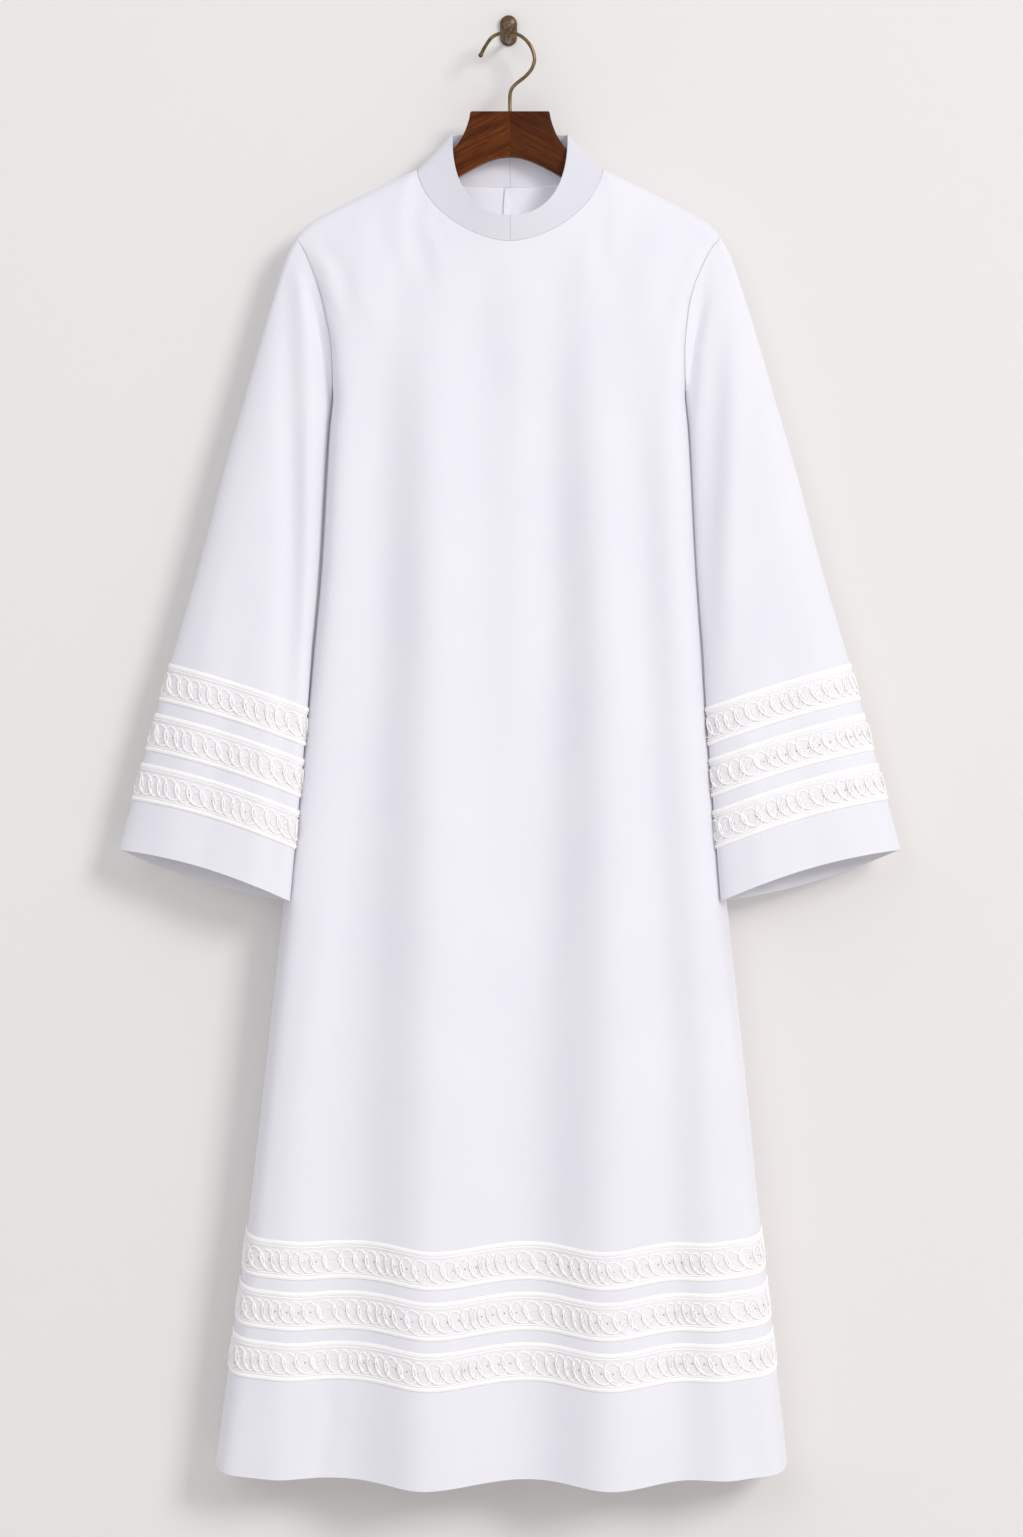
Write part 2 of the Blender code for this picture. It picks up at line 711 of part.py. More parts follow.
def band_mesh(name, upper, lower, mirrored=()):
    """A ring of lace with a braid along each edge, made from two rows of the cloth it lies on."""
    (upper_points, upper_normals), (lower_points, lower_normals) = upper, lower
    count = len(upper_points)
    outer = []
    for share, rise in band_profile():
        row = []
        for j in range(count):
            point = upper_points[j].lerp(lower_points[j], share)
            normal = upper_normals[j].lerp(lower_normals[j], share).normalized()
            row.append(point + normal * rise)
        outer.append(row)
    inner = [
        [p + n * SEAM_GAP for p, n in zip(upper_points, upper_normals)],
        [p + n * SEAM_GAP for p, n in zip(lower_points, lower_normals)],
    ]
    rows = outer + inner[::-1]
    points = [point * MM for row in rows for point in row]
    faces = []
    for i in range(len(rows)):
        for j in range(count):
            a, b = i * count + j, i * count + (j + 1) % count
            c, d = (i + 1) % len(rows) * count + (j + 1) % count, (i + 1) % len(rows) * count + j
            faces.append((a, d, c, b) if j in mirrored else (b, a, d, c))
    return triangle_mesh(name, points, faces)


def body_ring(height, grids):
    """The row at a height above the hem, right round the body, as points and outward directions."""
    levels = body_levels()
    index = min(range(len(levels)), key=lambda i: abs(levels[i] - (1 - height / BODY_LENGTH)))
    points, normals = [], []
    for rows, directions in grids:
        points += rows[index]
        normals += directions[index]
    centre = len(FRONT_COLUMNS) + len(BACK_RIGHT_COLUMNS)
    return points[:centre] + points[centre + 1 :], normals[:centre] + normals[centre + 1 :]


def make_hem_bands(collection, lace):
    grids = [
        body_grid("front", FRONT_COLUMNS),
        body_grid("back", BACK_RIGHT_COLUMNS),
        body_grid("back", BACK_LEFT_COLUMNS),
    ]
    for number, (foot, head) in enumerate(hem_band_heights(), start=1):
        name = f"hem_lace_{number}"
        mesh = band_mesh(name, body_ring(head, grids), body_ring(foot, grids), RIGHT_HALF)
        add_object(name, mesh, lace, collection)


def make_cuff_bands(collection, lace, name, side):
    rows, normals = sleeve_grid(side)
    levels = sleeve_levels()
    for number, (foot, head) in enumerate(cuff_band_heights(), start=1):
        rings = []
        for height in (head, foot):
            index = min(range(len(levels)), key=lambda i: abs(levels[i] - (1 - height / SLEEVE_LENGTH)))
            rings.append((rows[index], normals[index]))
        band = f"{name}_lace_{number}"
        add_object(band, band_mesh(band, *rings), lace, collection)


def curve_tube(name, points, radius, collection):
    """A capped round tube along points, as a mesh whose caps are welded."""
    curve = bpy.data.curves.new(name, "CURVE")
    curve.dimensions = "3D"
    curve.bevel_depth = radius * MM
    curve.bevel_resolution = 2
    curve.use_fill_caps = True
    spline = curve.splines.new("POLY")
    spline.points.add(len(points) - 1)
    for slot, point in zip(spline.points, points):
        slot.co = (*(point * MM), 1.0)
    return welded_mesh(name, curve, collection)


def welded_mesh(name, curve, collection):
    guide = bpy.data.objects.new(name + "_guide", curve)
    collection.objects.link(guide)
    evaluated = guide.evaluated_get(bpy.context.evaluated_depsgraph_get())
    mesh = bpy.data.meshes.new_from_object(evaluated)
    bpy.data.objects.remove(guide)
    work = bmesh.new()
    work.from_mesh(mesh)
    bmesh.ops.remove_doubles(work, verts=work.verts, dist=1e-6)
    bmesh.ops.recalc_face_normals(work, faces=work.faces)
    work.to_mesh(mesh)
    work.free()
    return mesh


def smooth_route(points, steps):
    """Points of a smooth curve through a route's own points, steps to each span."""
    route = []
    for i in range(len(points) - 1):
        before, start = points[max(i - 1, 0)], points[i]
        end, after = points[i + 1], points[min(i + 2, len(points) - 1)]
        for n in range(steps):
            t = n / steps
            route.append(
                0.5
                * (
                    2 * start
                    + (end - before) * t
                    + (2 * before - 5 * start + 4 * end - after) * t**2
                    + (3 * start - before - 3 * end + after) * t**3
                )
            )
    return route + [points[-1]]


def ball_cutter(name, centre, radius, collection):
    """A ball to be joined to a tube's end, kept out of the built object."""
    mesh = bpy.data.meshes.new(name)
    work = bmesh.new()
    bmesh.ops.create_uvsphere(work, u_segments=12, v_segments=8, radius=radius * MM)
    work.to_mesh(mesh)
    work.free()
    ball = bpy.data.objects.new(name, mesh)
    ball.location = centre * MM
    hide_cutter(ball, collection)
    return ball


def hide_cutter(cutter, collection):
    collection.objects.link(cutter)
    cutter.hide_render = True
    cutter.display_type = "WIRE"


def add_boolean(target, operation, tool):
    modifier = target.modifiers.new(operation.lower() + "_" + tool.name, "BOOLEAN")
    modifier.operation = operation
    modifier.object = tool
    modifier.solver = "EXACT"


def make_hanger_hook(collection, cutters, brass):
    route = [Vector((CENTRE_X + p.across, HANG_Y, -p.drop)) for p in WIRE_ROUTE]
    mesh = curve_tube("hanger_hook", smooth_route(route, 2), WIRE_RADIUS, collection)
    wire = add_object("hanger_hook", mesh, brass, collection)
    add_boolean(wire, "UNION", ball_cutter("wire_ball", route[0], WIRE_BALL_RADIUS, cutters))


def wood_outline(side):
    """The outline of one hanger half: neck, top along the shoulder seam, tip and underside."""
    top = []
    for row in SHOULDERS[1:-3]:
        half = lerp(NECK_HALF, side_half(TIP_DROP, side), row.along)
        top.append(WoodPoint(half, row.drop + WOOD_UNDER_SEAM))
    return WOOD_NECK + top + WOOD_TIP + WOOD_FOOT


def make_hanger_half(collection, cutters, wood, name, side, bore):
    curve = bpy.data.curves.new(name, "CURVE")
    curve.dimensions = "2D"
    curve.fill_mode = "BOTH"
    curve.extrude = WOOD_THICKNESS / 2 * MM
    spline = curve.splines.new("POLY")
    outline = wood_outline(side)
    spline.points.add(len(outline) - 1)
    for slot, point in zip(spline.points, outline):
        slot.co = (side * point.half * MM, -point.drop * MM, 0.0, 1.0)
    spline.use_cyclic_u = True
    mesh = welded_mesh(name, curve, cutters)
    half = add_object(name, mesh, wood, collection)
    half.location = (CENTRE_X * MM, HANG_Y * MM, 0.0)
    half.rotation_euler = (math.pi / 2, 0.0, 0.0)
    edge = half.modifiers.new("rounded_edges", "BEVEL")
    edge.width = WOOD_EDGE * MM
    edge.segments = 2
    edge.limit_method = "ANGLE"
    edge.angle_limit = math.radians(60)
    add_boolean(half, "DIFFERENCE", bore)


def make_bore(cutters):
    """The hole down the hanger's joint that the hook's shank sits in."""
    mesh = bpy.data.meshes.new("shank_bore")
    work = bmesh.new()
    radius = BORE_RADIUS * MM
    depth = (BORE_DROP - BORE_TOP_DROP) * MM
    bmesh.ops.create_cone(
        work, cap_ends=True, segments=12, radius1=radius, radius2=radius, depth=depth
    )
    work.to_mesh(mesh)
    work.free()
    bore = bpy.data.objects.new("shank_bore", mesh)
    bore.location = (CENTRE_X * MM, HANG_Y * MM, -(BORE_TOP_DROP + BORE_DROP) / 2 * MM)
    hide_cutter(bore, cutters)
    return bore


def capsule_outline(width, height, steps=10):
    """Points of an upright capsule: two half rounds joined by straight sides."""
    radius, straight = width / 2, (height - width) / 2
    points = []
    for n in range(2 * steps + 2):
        lower = n > steps
        angle = math.pi * (n - lower) / steps
        middle = -straight if lower else straight
        points.append((radius * math.cos(angle), middle + radius * math.sin(angle)))
    return points


def make_wall_hook(collection, cutters, bronze):
    """Plate and arm, cast in one, with the plate's back face on the wall."""
    curve = bpy.data.curves.new("wall_hook", "CURVE")
    curve.dimensions = "2D"
    curve.fill_mode = "BOTH"
    curve.extrude = PLATE_THICKNESS / 2 * MM
    spline = curve.splines.new("POLY")
    outline = capsule_outline(PLATE_WIDTH, PLATE_HEIGHT)
    spline.points.add(len(outline) - 1)
    for slot, (x, z) in zip(spline.points, outline):
        slot.co = (x * MM, z * MM, 0.0, 1.0)
    spline.use_cyclic_u = True
    plate = add_object("wall_hook", welded_mesh("wall_hook", curve, cutters), bronze, collection)
    plate.location = (0.0, -PLATE_THICKNESS / 2 * MM, PLATE_RISE * MM)
    plate.rotation_euler = (math.pi / 2, 0.0, 0.0)
    route = [Vector((0.0, -p.out, -p.drop)) for p in ARM_ROUTE]
    arm_mesh = curve_tube("hook_arm", smooth_route(route, 2), ARM_RADIUS, cutters)
    arm = bpy.data.objects.new("hook_arm", arm_mesh)
    hide_cutter(arm, cutters)
    add_boolean(plate, "UNION", arm)
    add_boolean(plate, "UNION", ball_cutter("arm_tip", route[-1], ARM_TIP_RADIUS, cutters))


def make_dome(collection, bronze):
    """The domed screw head that holds the plate to the wall."""
    steps = 5
    profile = []
    for n in range(steps + 1):
        angle = math.pi / 2 * n / steps
        profile.append((DOME_RADIUS * math.sin(angle), DOME_RISE * math.cos(angle) + DOME_RIM))
    profile += [(DOME_RADIUS, 0.0), (0.0, 0.0)]
    mesh = bpy.data.meshes.new("screw_dome")
    points = [(x * MM, 0.0, z * MM) for x, z in profile]
    mesh.from_pydata(points, [(n, n + 1) for n in range(len(points) - 1)], [])
    dome = add_object("screw_dome", mesh, bronze, collection)
    turned = dome.modifiers.new("turned", "SCREW")
    turned.axis = "Z"
    turned.steps = 20
    turned.render_steps = 20
    turned.use_merge_vertices = True
    turned.merge_threshold = 0.00001
    dome.location = (0.0, -(PLATE_THICKNESS + SEAM_GAP) * MM, DOME_HEIGHT * MM)
    dome.rotation_euler = (math.pi / 2, 0.0, 0.0)


def clear_scene():
    for old in list(bpy.data.objects):
        bpy.data.objects.remove(old, do_unlink=True)


def add_collection(name):
    made = bpy.data.collections.new(name)
    bpy.context.scene.collection.children.link(made)
    return made


def main():
    clear_scene()
    robe = add_collection("alb_robe")
    cutters = add_collection("cutters")
    cloth = make_material("white_polyester_cotton", (0.88, 0.88, 0.93), 0.8)
    lace = make_material("white_cord_lace", (0.9, 0.89, 0.88), 0.75)
    wood = make_material("stained_wood", (0.13, 0.03, 0.01), 0.35)
    brass = make_material("aged_brass", (0.28, 0.2, 0.1), 0.35, 1.0)
    bronze = make_material("antique_bronze", (0.13, 0.09, 0.05), 0.4, 1.0)
    make_front(robe, cloth)
    make_back(robe, cloth, "back_right", BACK_RIGHT_COLUMNS)
    make_back(robe, cloth, "back_left", BACK_LEFT_COLUMNS)
    make_placket(robe, cloth)
    make_collar(robe, cloth, "collar_left", -1)
    make_collar(robe, cloth, "collar_right", 1)
    for name, side in (("sleeve_left", -1), ("sleeve_right", 1)):
        make_sleeve(robe, cloth, name, side)
        make_cuff_bands(robe, lace, name, side)
    make_hem_bands(robe, lace)
    bore = make_bore(cutters)
    make_hanger_half(robe, cutters, wood, "hanger_left", -1, bore)
    make_hanger_half(robe, cutters, wood, "hanger_right", 1, bore)
    make_hanger_hook(robe, cutters, brass)
    make_wall_hook(robe, cutters, bronze)
    make_dome(robe, bronze)


main()
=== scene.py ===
"""Looks of a white alb robe on a two-part wooden hanger, hanging from a small hook on a wall.

Cloth is worked out in millimetres and laid in the frame in metres. +Z is up, +X is to the right
of someone who faces the robe, and +Y goes into the wall. A drop is a depth below the origin,
which is on the wall plate's back face, level with the wire in the hook.
"""

import math
from collections import namedtuple

import bmesh
import bpy
import numpy as np
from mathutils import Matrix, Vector


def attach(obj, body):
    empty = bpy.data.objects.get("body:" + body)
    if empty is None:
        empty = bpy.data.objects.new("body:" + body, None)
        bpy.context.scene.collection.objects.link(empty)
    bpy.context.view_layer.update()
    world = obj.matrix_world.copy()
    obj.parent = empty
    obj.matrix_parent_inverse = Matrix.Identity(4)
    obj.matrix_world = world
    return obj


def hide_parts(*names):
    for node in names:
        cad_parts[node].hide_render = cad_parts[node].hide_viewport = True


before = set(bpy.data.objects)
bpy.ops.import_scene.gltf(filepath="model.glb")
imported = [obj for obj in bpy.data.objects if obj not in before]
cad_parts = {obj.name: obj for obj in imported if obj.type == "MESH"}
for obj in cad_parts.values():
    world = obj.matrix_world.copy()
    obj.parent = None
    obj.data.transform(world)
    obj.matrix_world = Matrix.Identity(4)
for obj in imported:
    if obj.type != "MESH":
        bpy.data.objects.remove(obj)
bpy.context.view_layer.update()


# Wall hook
# A small cast hook: a capsule-shaped plate with a softened rim and a round arm that curls up in
# front. It is zinc with an antique bronze finish.

MM = 0.001
PLATE_WIDTH = 19.0
PLATE_HEIGHT = 34.0
PLATE_THICKNESS = 3.0
PLATE_RIM = 1.1
PLATE_RISE = 8.0
CAPSULE_STEPS = 24
RIM_TURNS = (0.4, 0.8, 1.2, math.pi / 2)
ARM_RADIUS = 3.0
ARM_TIP_RADIUS = 4.2
ARM_ROUTE = [(2, 2.6), (12, 4.8), (24, 7.2), (34, 7.6), (41, 6.5), (46.5, 5.2), (50.4, 1.6), (52, -4)]


def linear_color(code):
    """A colour of the scene's own linear kind from an sRGB hex value."""
    parts = [int(code[i : i + 2], 16) / 255 for i in (1, 3, 5)]
    return (*[c / 12.92 if c <= 0.04045 else ((c + 0.055) / 1.055) ** 2.4 for c in parts], 1.0)


def add_node(tree, kind, inputs, **settings):
    """A node with its settings, whose inputs are values or other nodes' outputs."""
    node = tree.nodes.new(kind)
    for name, value in settings.items():
        setattr(node, name, value)
    for name, value in inputs.items():
        if isinstance(value, bpy.types.Node):
            value = value.outputs[0]
        if isinstance(value, bpy.types.NodeSocket):
            tree.links.new(value, node.inputs[name])
        else:
            node.inputs[name].default_value = value
    return node


def start_material(name):
    """An empty material, its node tree and its shader."""
    material = bpy.data.materials.new(name)
    material.use_nodes = True
    tree = material.node_tree
    return material, tree, tree.nodes["Principled BSDF"]


def add_ramp(tree, factor, stops):
    """A blend of colours at places from 0 to 1."""
    ramp = add_node(tree, "ShaderNodeValToRGB", {0: factor})
    elements = ramp.color_ramp.elements
    while len(elements) < len(stops):
        elements.new(0.5)
    for element, (place, code) in zip(elements, stops):
        element.position = place
        element.color = linear_color(code)
    return ramp


def object_place(tree):
    return add_node(tree, "ShaderNodeTexCoord", {}).outputs["Object"]


def noise(tree, vector, scale, detail, **more):
    inputs = {"Vector": vector, "Scale": scale, "Detail": detail, **more}
    return add_node(tree, "ShaderNodeTexNoise", inputs).outputs["Fac"]


def bump_of(tree, height, strength, distance, **more):
    """A bump from a height, strength and distance in metres."""
    inputs = {"Height": height, "Strength": strength, "Distance": distance, **more}
    return add_node(tree, "ShaderNodeBump", inputs)


def set_looks(tree, shader, color, looks, bump=None):
    """Gives a shader its colour, its other values by name and its bump."""
    tree.links.new(color, shader.inputs["Base Color"])
    for name, value in looks.items():
        shader.inputs[name].default_value = value
    if bump:
        tree.links.new(bump.outputs[0], shader.inputs["Normal"])


# Antique bronze: a dark brown lacquer over warm metal, mottled at a few millimetres
bronze, tree, shader = start_material("antique_bronze")
place = object_place(tree)
mottle = noise(tree, place, 260.0, 4.0)
worn = add_ramp(tree, mottle, [(0.3, "#4f3f30"), (0.55, "#6a5643"), (0.8, "#8a755c")])
bump = bump_of(tree, noise(tree, place, 1400.0, 2.0), 0.08, 0.0004)
set_looks(tree, shader, worn.outputs[0], {"Metallic": 0.75, "Roughness": 0.42}, bump)


def finish_piece(name, mesh, material, nodes, smooth_angle=35.0):
    """Adds a mesh as a piece that stands for its CAD nodes."""
    mesh.materials.clear()
    mesh.materials.append(material)
    mesh.shade_smooth()
    mesh.set_sharp_from_angle(angle=math.radians(smooth_angle))
    piece = bpy.data.objects.new(name, mesh)
    bpy.context.scene.collection.objects.link(piece)
    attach(piece, "root")
    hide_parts(*nodes)
    return piece


def smooth_route(points, steps):
    """Points of a smooth curve through a route's own points, steps to each span."""
    route = []
    for i in range(len(points) - 1):
        before, start = points[max(i - 1, 0)], points[i]
        end, after = points[i + 1], points[min(i + 2, len(points) - 1)]
        for n in range(steps):
            t = n / steps
            pull = (end - before) * t + (2 * before - 5 * start + 4 * end - after) * t**2
            pull += (3 * start - before - 3 * end + after) * t**3
            route.append(start + 0.5 * pull)
    return route + [points[-1]]


def ring_mesh(name, rings):
    """A closed mesh through rings of points in millimetres, as many in each."""
    mesh = bpy.data.meshes.new(name)
    work = bmesh.new()
    rings = [[work.verts.new(point * MM) for point in ring] for ring in rings]
    count = len(rings[0])
    for one, two in zip(rings, rings[1:]):
        for n in range(count):
            work.faces.new((one[n], one[(n + 1) % count], two[(n + 1) % count], two[n]))
    work.faces.new(rings[0])
    work.faces.new(rings[-1])
    bmesh.ops.recalc_face_normals(work, faces=work.faces)
    work.to_mesh(mesh)
    work.free()
    return mesh


def rod_mesh(name, route, radii, sides=16):
    """A round rod along a route, with a radius at each point."""
    rings = []
    normal = Vector((0.0, 0.0, 1.0))
    for i, (centre, radius) in enumerate(zip(route, radii)):
        along = (route[min(i + 1, len(route) - 1)] - route[max(i - 1, 0)]).normalized()
        normal = (normal - along * normal.dot(along)).normalized()
        other = along.cross(normal)
        turns = [2 * math.pi * n / sides for n in range(sides)]
        spokes = [normal * math.cos(turn) + other * math.sin(turn) for turn in turns]
        rings.append([centre + spoke * radius for spoke in spokes])
    return ring_mesh(name, rings)


def round_ends(route, radii, end_radius, steps=5):
    """The route and its radii with a ball's profile added past the last point."""
    along = (route[-1] - route[-2]).normalized()
    route, radii = list(route), list(radii)
    last = route[-1]
    for n in range(1, steps + 1):
        turn = math.pi / 2 * n / steps
        route.append(last + along * end_radius * math.sin(turn))
        radii.append(max(0.05, end_radius * math.cos(turn)))
    return route, radii


def capsule_plate(name, width, height, thickness, rim):
    """An upright capsule with a rounded front rim, its back face on the wall."""
    radius, straight = width / 2, (height - width) / 2
    rings = []
    for inset, forward in [(0.0, 0.0), (0.0, 1 - rim / thickness)] + [
        (rim * (1 - math.cos(turn)), 1 - rim / thickness * (1 - math.sin(turn))) for turn in RIM_TURNS
    ]:
        ring = []
        for n in range(2 * CAPSULE_STEPS + 2):
            lower = n > CAPSULE_STEPS
            turn = math.pi * (n - lower) / CAPSULE_STEPS
            x = (radius - inset) * math.cos(turn)
            z = (radius - inset) * math.sin(turn) + (-straight if lower else straight) + PLATE_RISE
            ring.append(Vector((x, -thickness * forward, z)))
        rings.append(ring)
    return ring_mesh(name, rings)


def join_meshes(name, meshes):
    """One mesh from several."""
    work = bmesh.new()
    for mesh in meshes:
        work.from_mesh(mesh)
    joined = bpy.data.meshes.new(name)
    work.to_mesh(joined)
    work.free()
    return joined


arm_route = smooth_route([Vector((0.0, -out, -drop)) for out, drop in ARM_ROUTE], 5)
arm_radii = [
    ARM_RADIUS + (ARM_TIP_RADIUS - ARM_RADIUS) * max(0.0, i / (len(arm_route) - 1) - 0.75) * 4
    for i in range(len(arm_route))
]
arm_route, arm_radii = round_ends(arm_route, arm_radii, ARM_TIP_RADIUS)
plate = capsule_plate("plate", PLATE_WIDTH, PLATE_HEIGHT, PLATE_THICKNESS, PLATE_RIM)
hook_mesh = join_meshes("cast_wall_hook", [plate, rod_mesh("arm", arm_route, arm_radii)])
finish_piece("cast_wall_hook", hook_mesh, bronze, ["wall_hook"])


# Screw dome
# The plate's screw has a wide domed head, finished as the plate is, over the plate's upper round.

DOME_RADIUS = 9.2
DOME_RISE = 4.6
DOME_HEIGHT = 15.6
DOME_FOOT = 0.6
DOME_STEPS = 10
DOME_SIDES = 48
DOME_Y = -3.05


def turned_mesh(name, profile, sides, centre):
    """A shape turned about an axis that comes out of the wall, from radius and forward sizes."""
    turns = [2 * math.pi * n / sides for n in range(sides)]
    return ring_mesh(
        name,
        [
            [centre + Vector((radius * math.cos(turn), -forward, radius * math.sin(turn))) for turn in turns]
            for radius, forward in profile
        ],
    )


dome_profile = [(DOME_RADIUS, 0.0), (DOME_RADIUS, DOME_FOOT)]
for step in range(1, DOME_STEPS + 1):
    turn = math.pi / 2 * step / DOME_STEPS
    dome_profile.append((max(0.2, DOME_RADIUS * math.cos(turn)), DOME_FOOT + DOME_RISE * math.sin(turn)))
dome_mesh = turned_mesh("domed_screw_head", dome_profile, DOME_SIDES, Vector((0.0, DOME_Y, DOME_HEIGHT)))
finish_piece("domed_screw_head", dome_mesh, bronze, ["screw_dome"])


# Wooden hanger
# Two halves cut from hardwood board and glued at the middle, with the grain of each falling away
# from the joint. They are stained a red walnut brown under a satin lacquer.

CENTRE_X = 1.6
HANG_Y = -42.0
WOOD_THICKNESS = 12.0
WOOD_EDGE = 2.4
JOINT_EDGE = 0.35
WOOD_OUTLINE = [
    (0.0, 88.4), (42.4, 88.4), (43.8, 90.0), (45.4, 98.5), (50.2, 111.8), (56.8, 123.2), (62.0, 129.4),
    (84.0, 148.0), (102.0, 159.5), (135.0, 170.9), (166.8, 186.6), (197.0, 202.0), (208.0, 209.5),
    (216.5, 218.5), (220.0, 226.5), (218.5, 232.5), (213.0, 236.0), (190.0, 226.5), (120.0, 192.5),
    (59.6, 161.9), (44.6, 153.5), (29.4, 145.9), (14.0, 140.2), (0.0, 138.3),
]
# Stained walnut: grain lines 2 mm apart and slower bands, both falling away from the joint. The
# right half is coloured a little darker.
GRAIN_SLOPE = math.radians(27)
WOOD_TONES = {
    -1: [(0.25, "#441f08"), (0.45, "#5e2e0d"), (0.58, "#6a3710"), (0.8, "#7d4717")],
    1: [(0.25, "#3a1906"), (0.45, "#51260a"), (0.58, "#5c2e0c"), (0.8, "#6c3b12")],
}


def stained_wood(name, side):
    material, tree, shader = start_material(name)
    slope = (0.0, -side * GRAIN_SLOPE, 0.0)
    turned = add_node(tree, "ShaderNodeMapping", {"Vector": object_place(tree), "Rotation": slope})
    streak_place, band_place, pore_place = [
        add_node(tree, "ShaderNodeMapping", {"Vector": turned, "Scale": scale})
        for scale in ((26.0, 70.0, 480.0), (12.0, 30.0, 85.0), (90.0, 500.0, 1900.0))
    ]
    streaks = noise(tree, streak_place, 1.0, 5.0, Roughness=0.6, Distortion=0.5)
    fine = noise(tree, pore_place, 1.0, 3.0)
    color = add_ramp(tree, streaks, WOOD_TONES[side])
    slow = add_ramp(tree, noise(tree, band_place, 1.0, 2.0), [(0.3, "#cfc3bb"), (0.6, "#ffffff")])
    darker = add_ramp(tree, fine, [(0.35, "#d9ccc4"), (0.6, "#ffffff")])
    for layer in (slow, darker):
        color = add_node(
            tree,
            "ShaderNodeMix",
            {0: 1.0, 6: color.outputs["Result" if color.type == "MIX" else 0], 7: layer},
            data_type="RGBA",
            blend_type="MULTIPLY",
        )
    looks = {"Roughness": 0.42, "Specular IOR Level": 0.1}
    set_looks(tree, shader, color.outputs[2], looks, bump_of(tree, fine, 0.1, 0.0003))
    return material


def board_mesh(name, outline, side):
    """One half cut from board, well rounded along its outline and just broken at the joint."""
    mesh = bpy.data.meshes.new(name)
    work = bmesh.new()
    front = [
        work.verts.new(((CENTRE_X + side * half) * MM, (HANG_Y - WOOD_THICKNESS / 2) * MM, -drop * MM))
        for half, drop in outline
    ]
    face = work.faces.new(front)
    grown = bmesh.ops.extrude_face_region(work, geom=[face])["geom"]
    back = [item for item in grown if isinstance(item, bmesh.types.BMVert)]
    bmesh.ops.translate(work, verts=back, vec=(0.0, WOOD_THICKNESS * MM, 0.0))
    bmesh.ops.recalc_face_normals(work, faces=work.faces)
    face_edges = [edge for edge in work.edges if abs(edge.verts[0].co.y - edge.verts[1].co.y) < 1e-6]
    at_joint = [all(abs(vert.co.x - CENTRE_X * MM) < 1e-5 for vert in edge.verts) for edge in face_edges]
    for joined, width, segments in ((False, WOOD_EDGE, 4), (True, JOINT_EDGE, 2)):
        edges = [edge for edge, here in zip(face_edges, at_joint) if here == joined and edge.is_valid]
        bmesh.ops.bevel(
            work, geom=edges, offset=width * MM, segments=segments, profile=0.5, affect="EDGES"
        )
    bmesh.ops.triangulate(work, faces=[face for face in work.faces if len(face.verts) > 4])
    bmesh.ops.recalc_face_normals(work, faces=work.faces)
    work.to_mesh(mesh)
    work.free()
    return mesh


corner, curved = WOOD_OUTLINE[:2], [Vector(point) for point in WOOD_OUTLINE[2:]]
wood_outline = corner + [tuple(point) for point in smooth_route(curved, 4)]
for node, side in (("hanger_left", -1), ("hanger_right", 1)):
    board = board_mesh(node + "_board", wood_outline, side)
    walnut = stained_wood("stained_walnut_" + node[7:], side)
    finish_piece(node + "_board", board, walnut, [node], 40.0)


# Hanger hook
# Drawn steel wire, 4 mm thick, plated in brass and left to age. It is bent into an open loop with
# a ball at its end, and its shank goes down into the joint between the hanger's halves.

WIRE_RADIUS = 2.0
WIRE_BALL_RADIUS = 2.7
WIRE_ROUTE = [
    (-32.2, 26.2), (-27.5, 17.0), (-19.8, 6.6), (-10.0, 2.0), (0.0, 1.1), (10.0, 4.0), (18.6, 10.6),
    (24.6, 20.0), (27.0, 31.2), (23.6, 41.7), (16.2, 50.2), (6.6, 57.8), (1.9, 63.5), (0.0, 71.0),
    (0.0, 88.0), (0.0, 112.0),
]

# Aged brass plate: warm metal with brown tarnish in soft patches
brass, tree, shader = start_material("aged_brass")
tarnish = noise(tree, object_place(tree), 120.0, 3.0)
color = add_ramp(tree, tarnish, [(0.3, "#5c4c37"), (0.6, "#7d6a4d"), (0.85, "#9b8665")])
set_looks(tree, shader, color.outputs[0], {"Metallic": 1.0, "Roughness": 0.3})

wire_points = [Vector((CENTRE_X + across, HANG_Y, -drop)) for across, drop in WIRE_ROUTE]
wire_route = smooth_route(wire_points, 6)
wire_mesh = rod_mesh("wire", wire_route, [WIRE_RADIUS] * len(wire_route))
ball_profile = [
    (max(0.1, WIRE_BALL_RADIUS * math.sin(math.pi * n / 12)), -WIRE_BALL_RADIUS * math.cos(math.pi * n / 12))
    for n in range(13)
]
ball_mesh = turned_mesh("ball", ball_profile, 20, wire_points[0])
wire_mesh = join_meshes("brass_wire_hook", [wire_mesh, ball_mesh])
finish_piece("brass_wire_hook", wire_mesh, brass, ["hanger_hook"])


# Robe body
# The front is one panel and the back two, of white polyester and cotton in a plain weave. They
# are cut as long flared panels, sewn at the shoulders, sides and centre back, and hang in long
# soft folds from the chest to a narrow turned hem.

SEAM_GAP = 0.06
TIP_DROP = 227.0
UNDERARM_LEVEL = 0.1324
HEM_CORNER_DROP = 1572.0
BODY_LENGTH = 1360.0
HEM_SAG = 12.0
HEM_SAG_PER_FOLD = 0.38
BODY_SQUARENESS = 24.0
SHOULDER_ROLL = 10.0
CHEST_EASE = 70.0
CREASE_EASE = 16.0
FAN_OUT_REACH = 30.0
FAN_IN_REACH = 250.0
ARMHOLE_HALF_DEPTH = 20.0
NECK_HALF = 102.0
NECK_SIDE_DROP = 151.9
NECK_PLACE = 0.4 + 0.6 * math.sin(0.4 * math.pi) / math.pi
CLOTH_THICKNESS = 1.0
BODY_ROWS = 220
BODY_COLUMNS = 145



def table(kind, *rows):
    """Rows of one kind."""
    return [kind(*row) for row in rows]


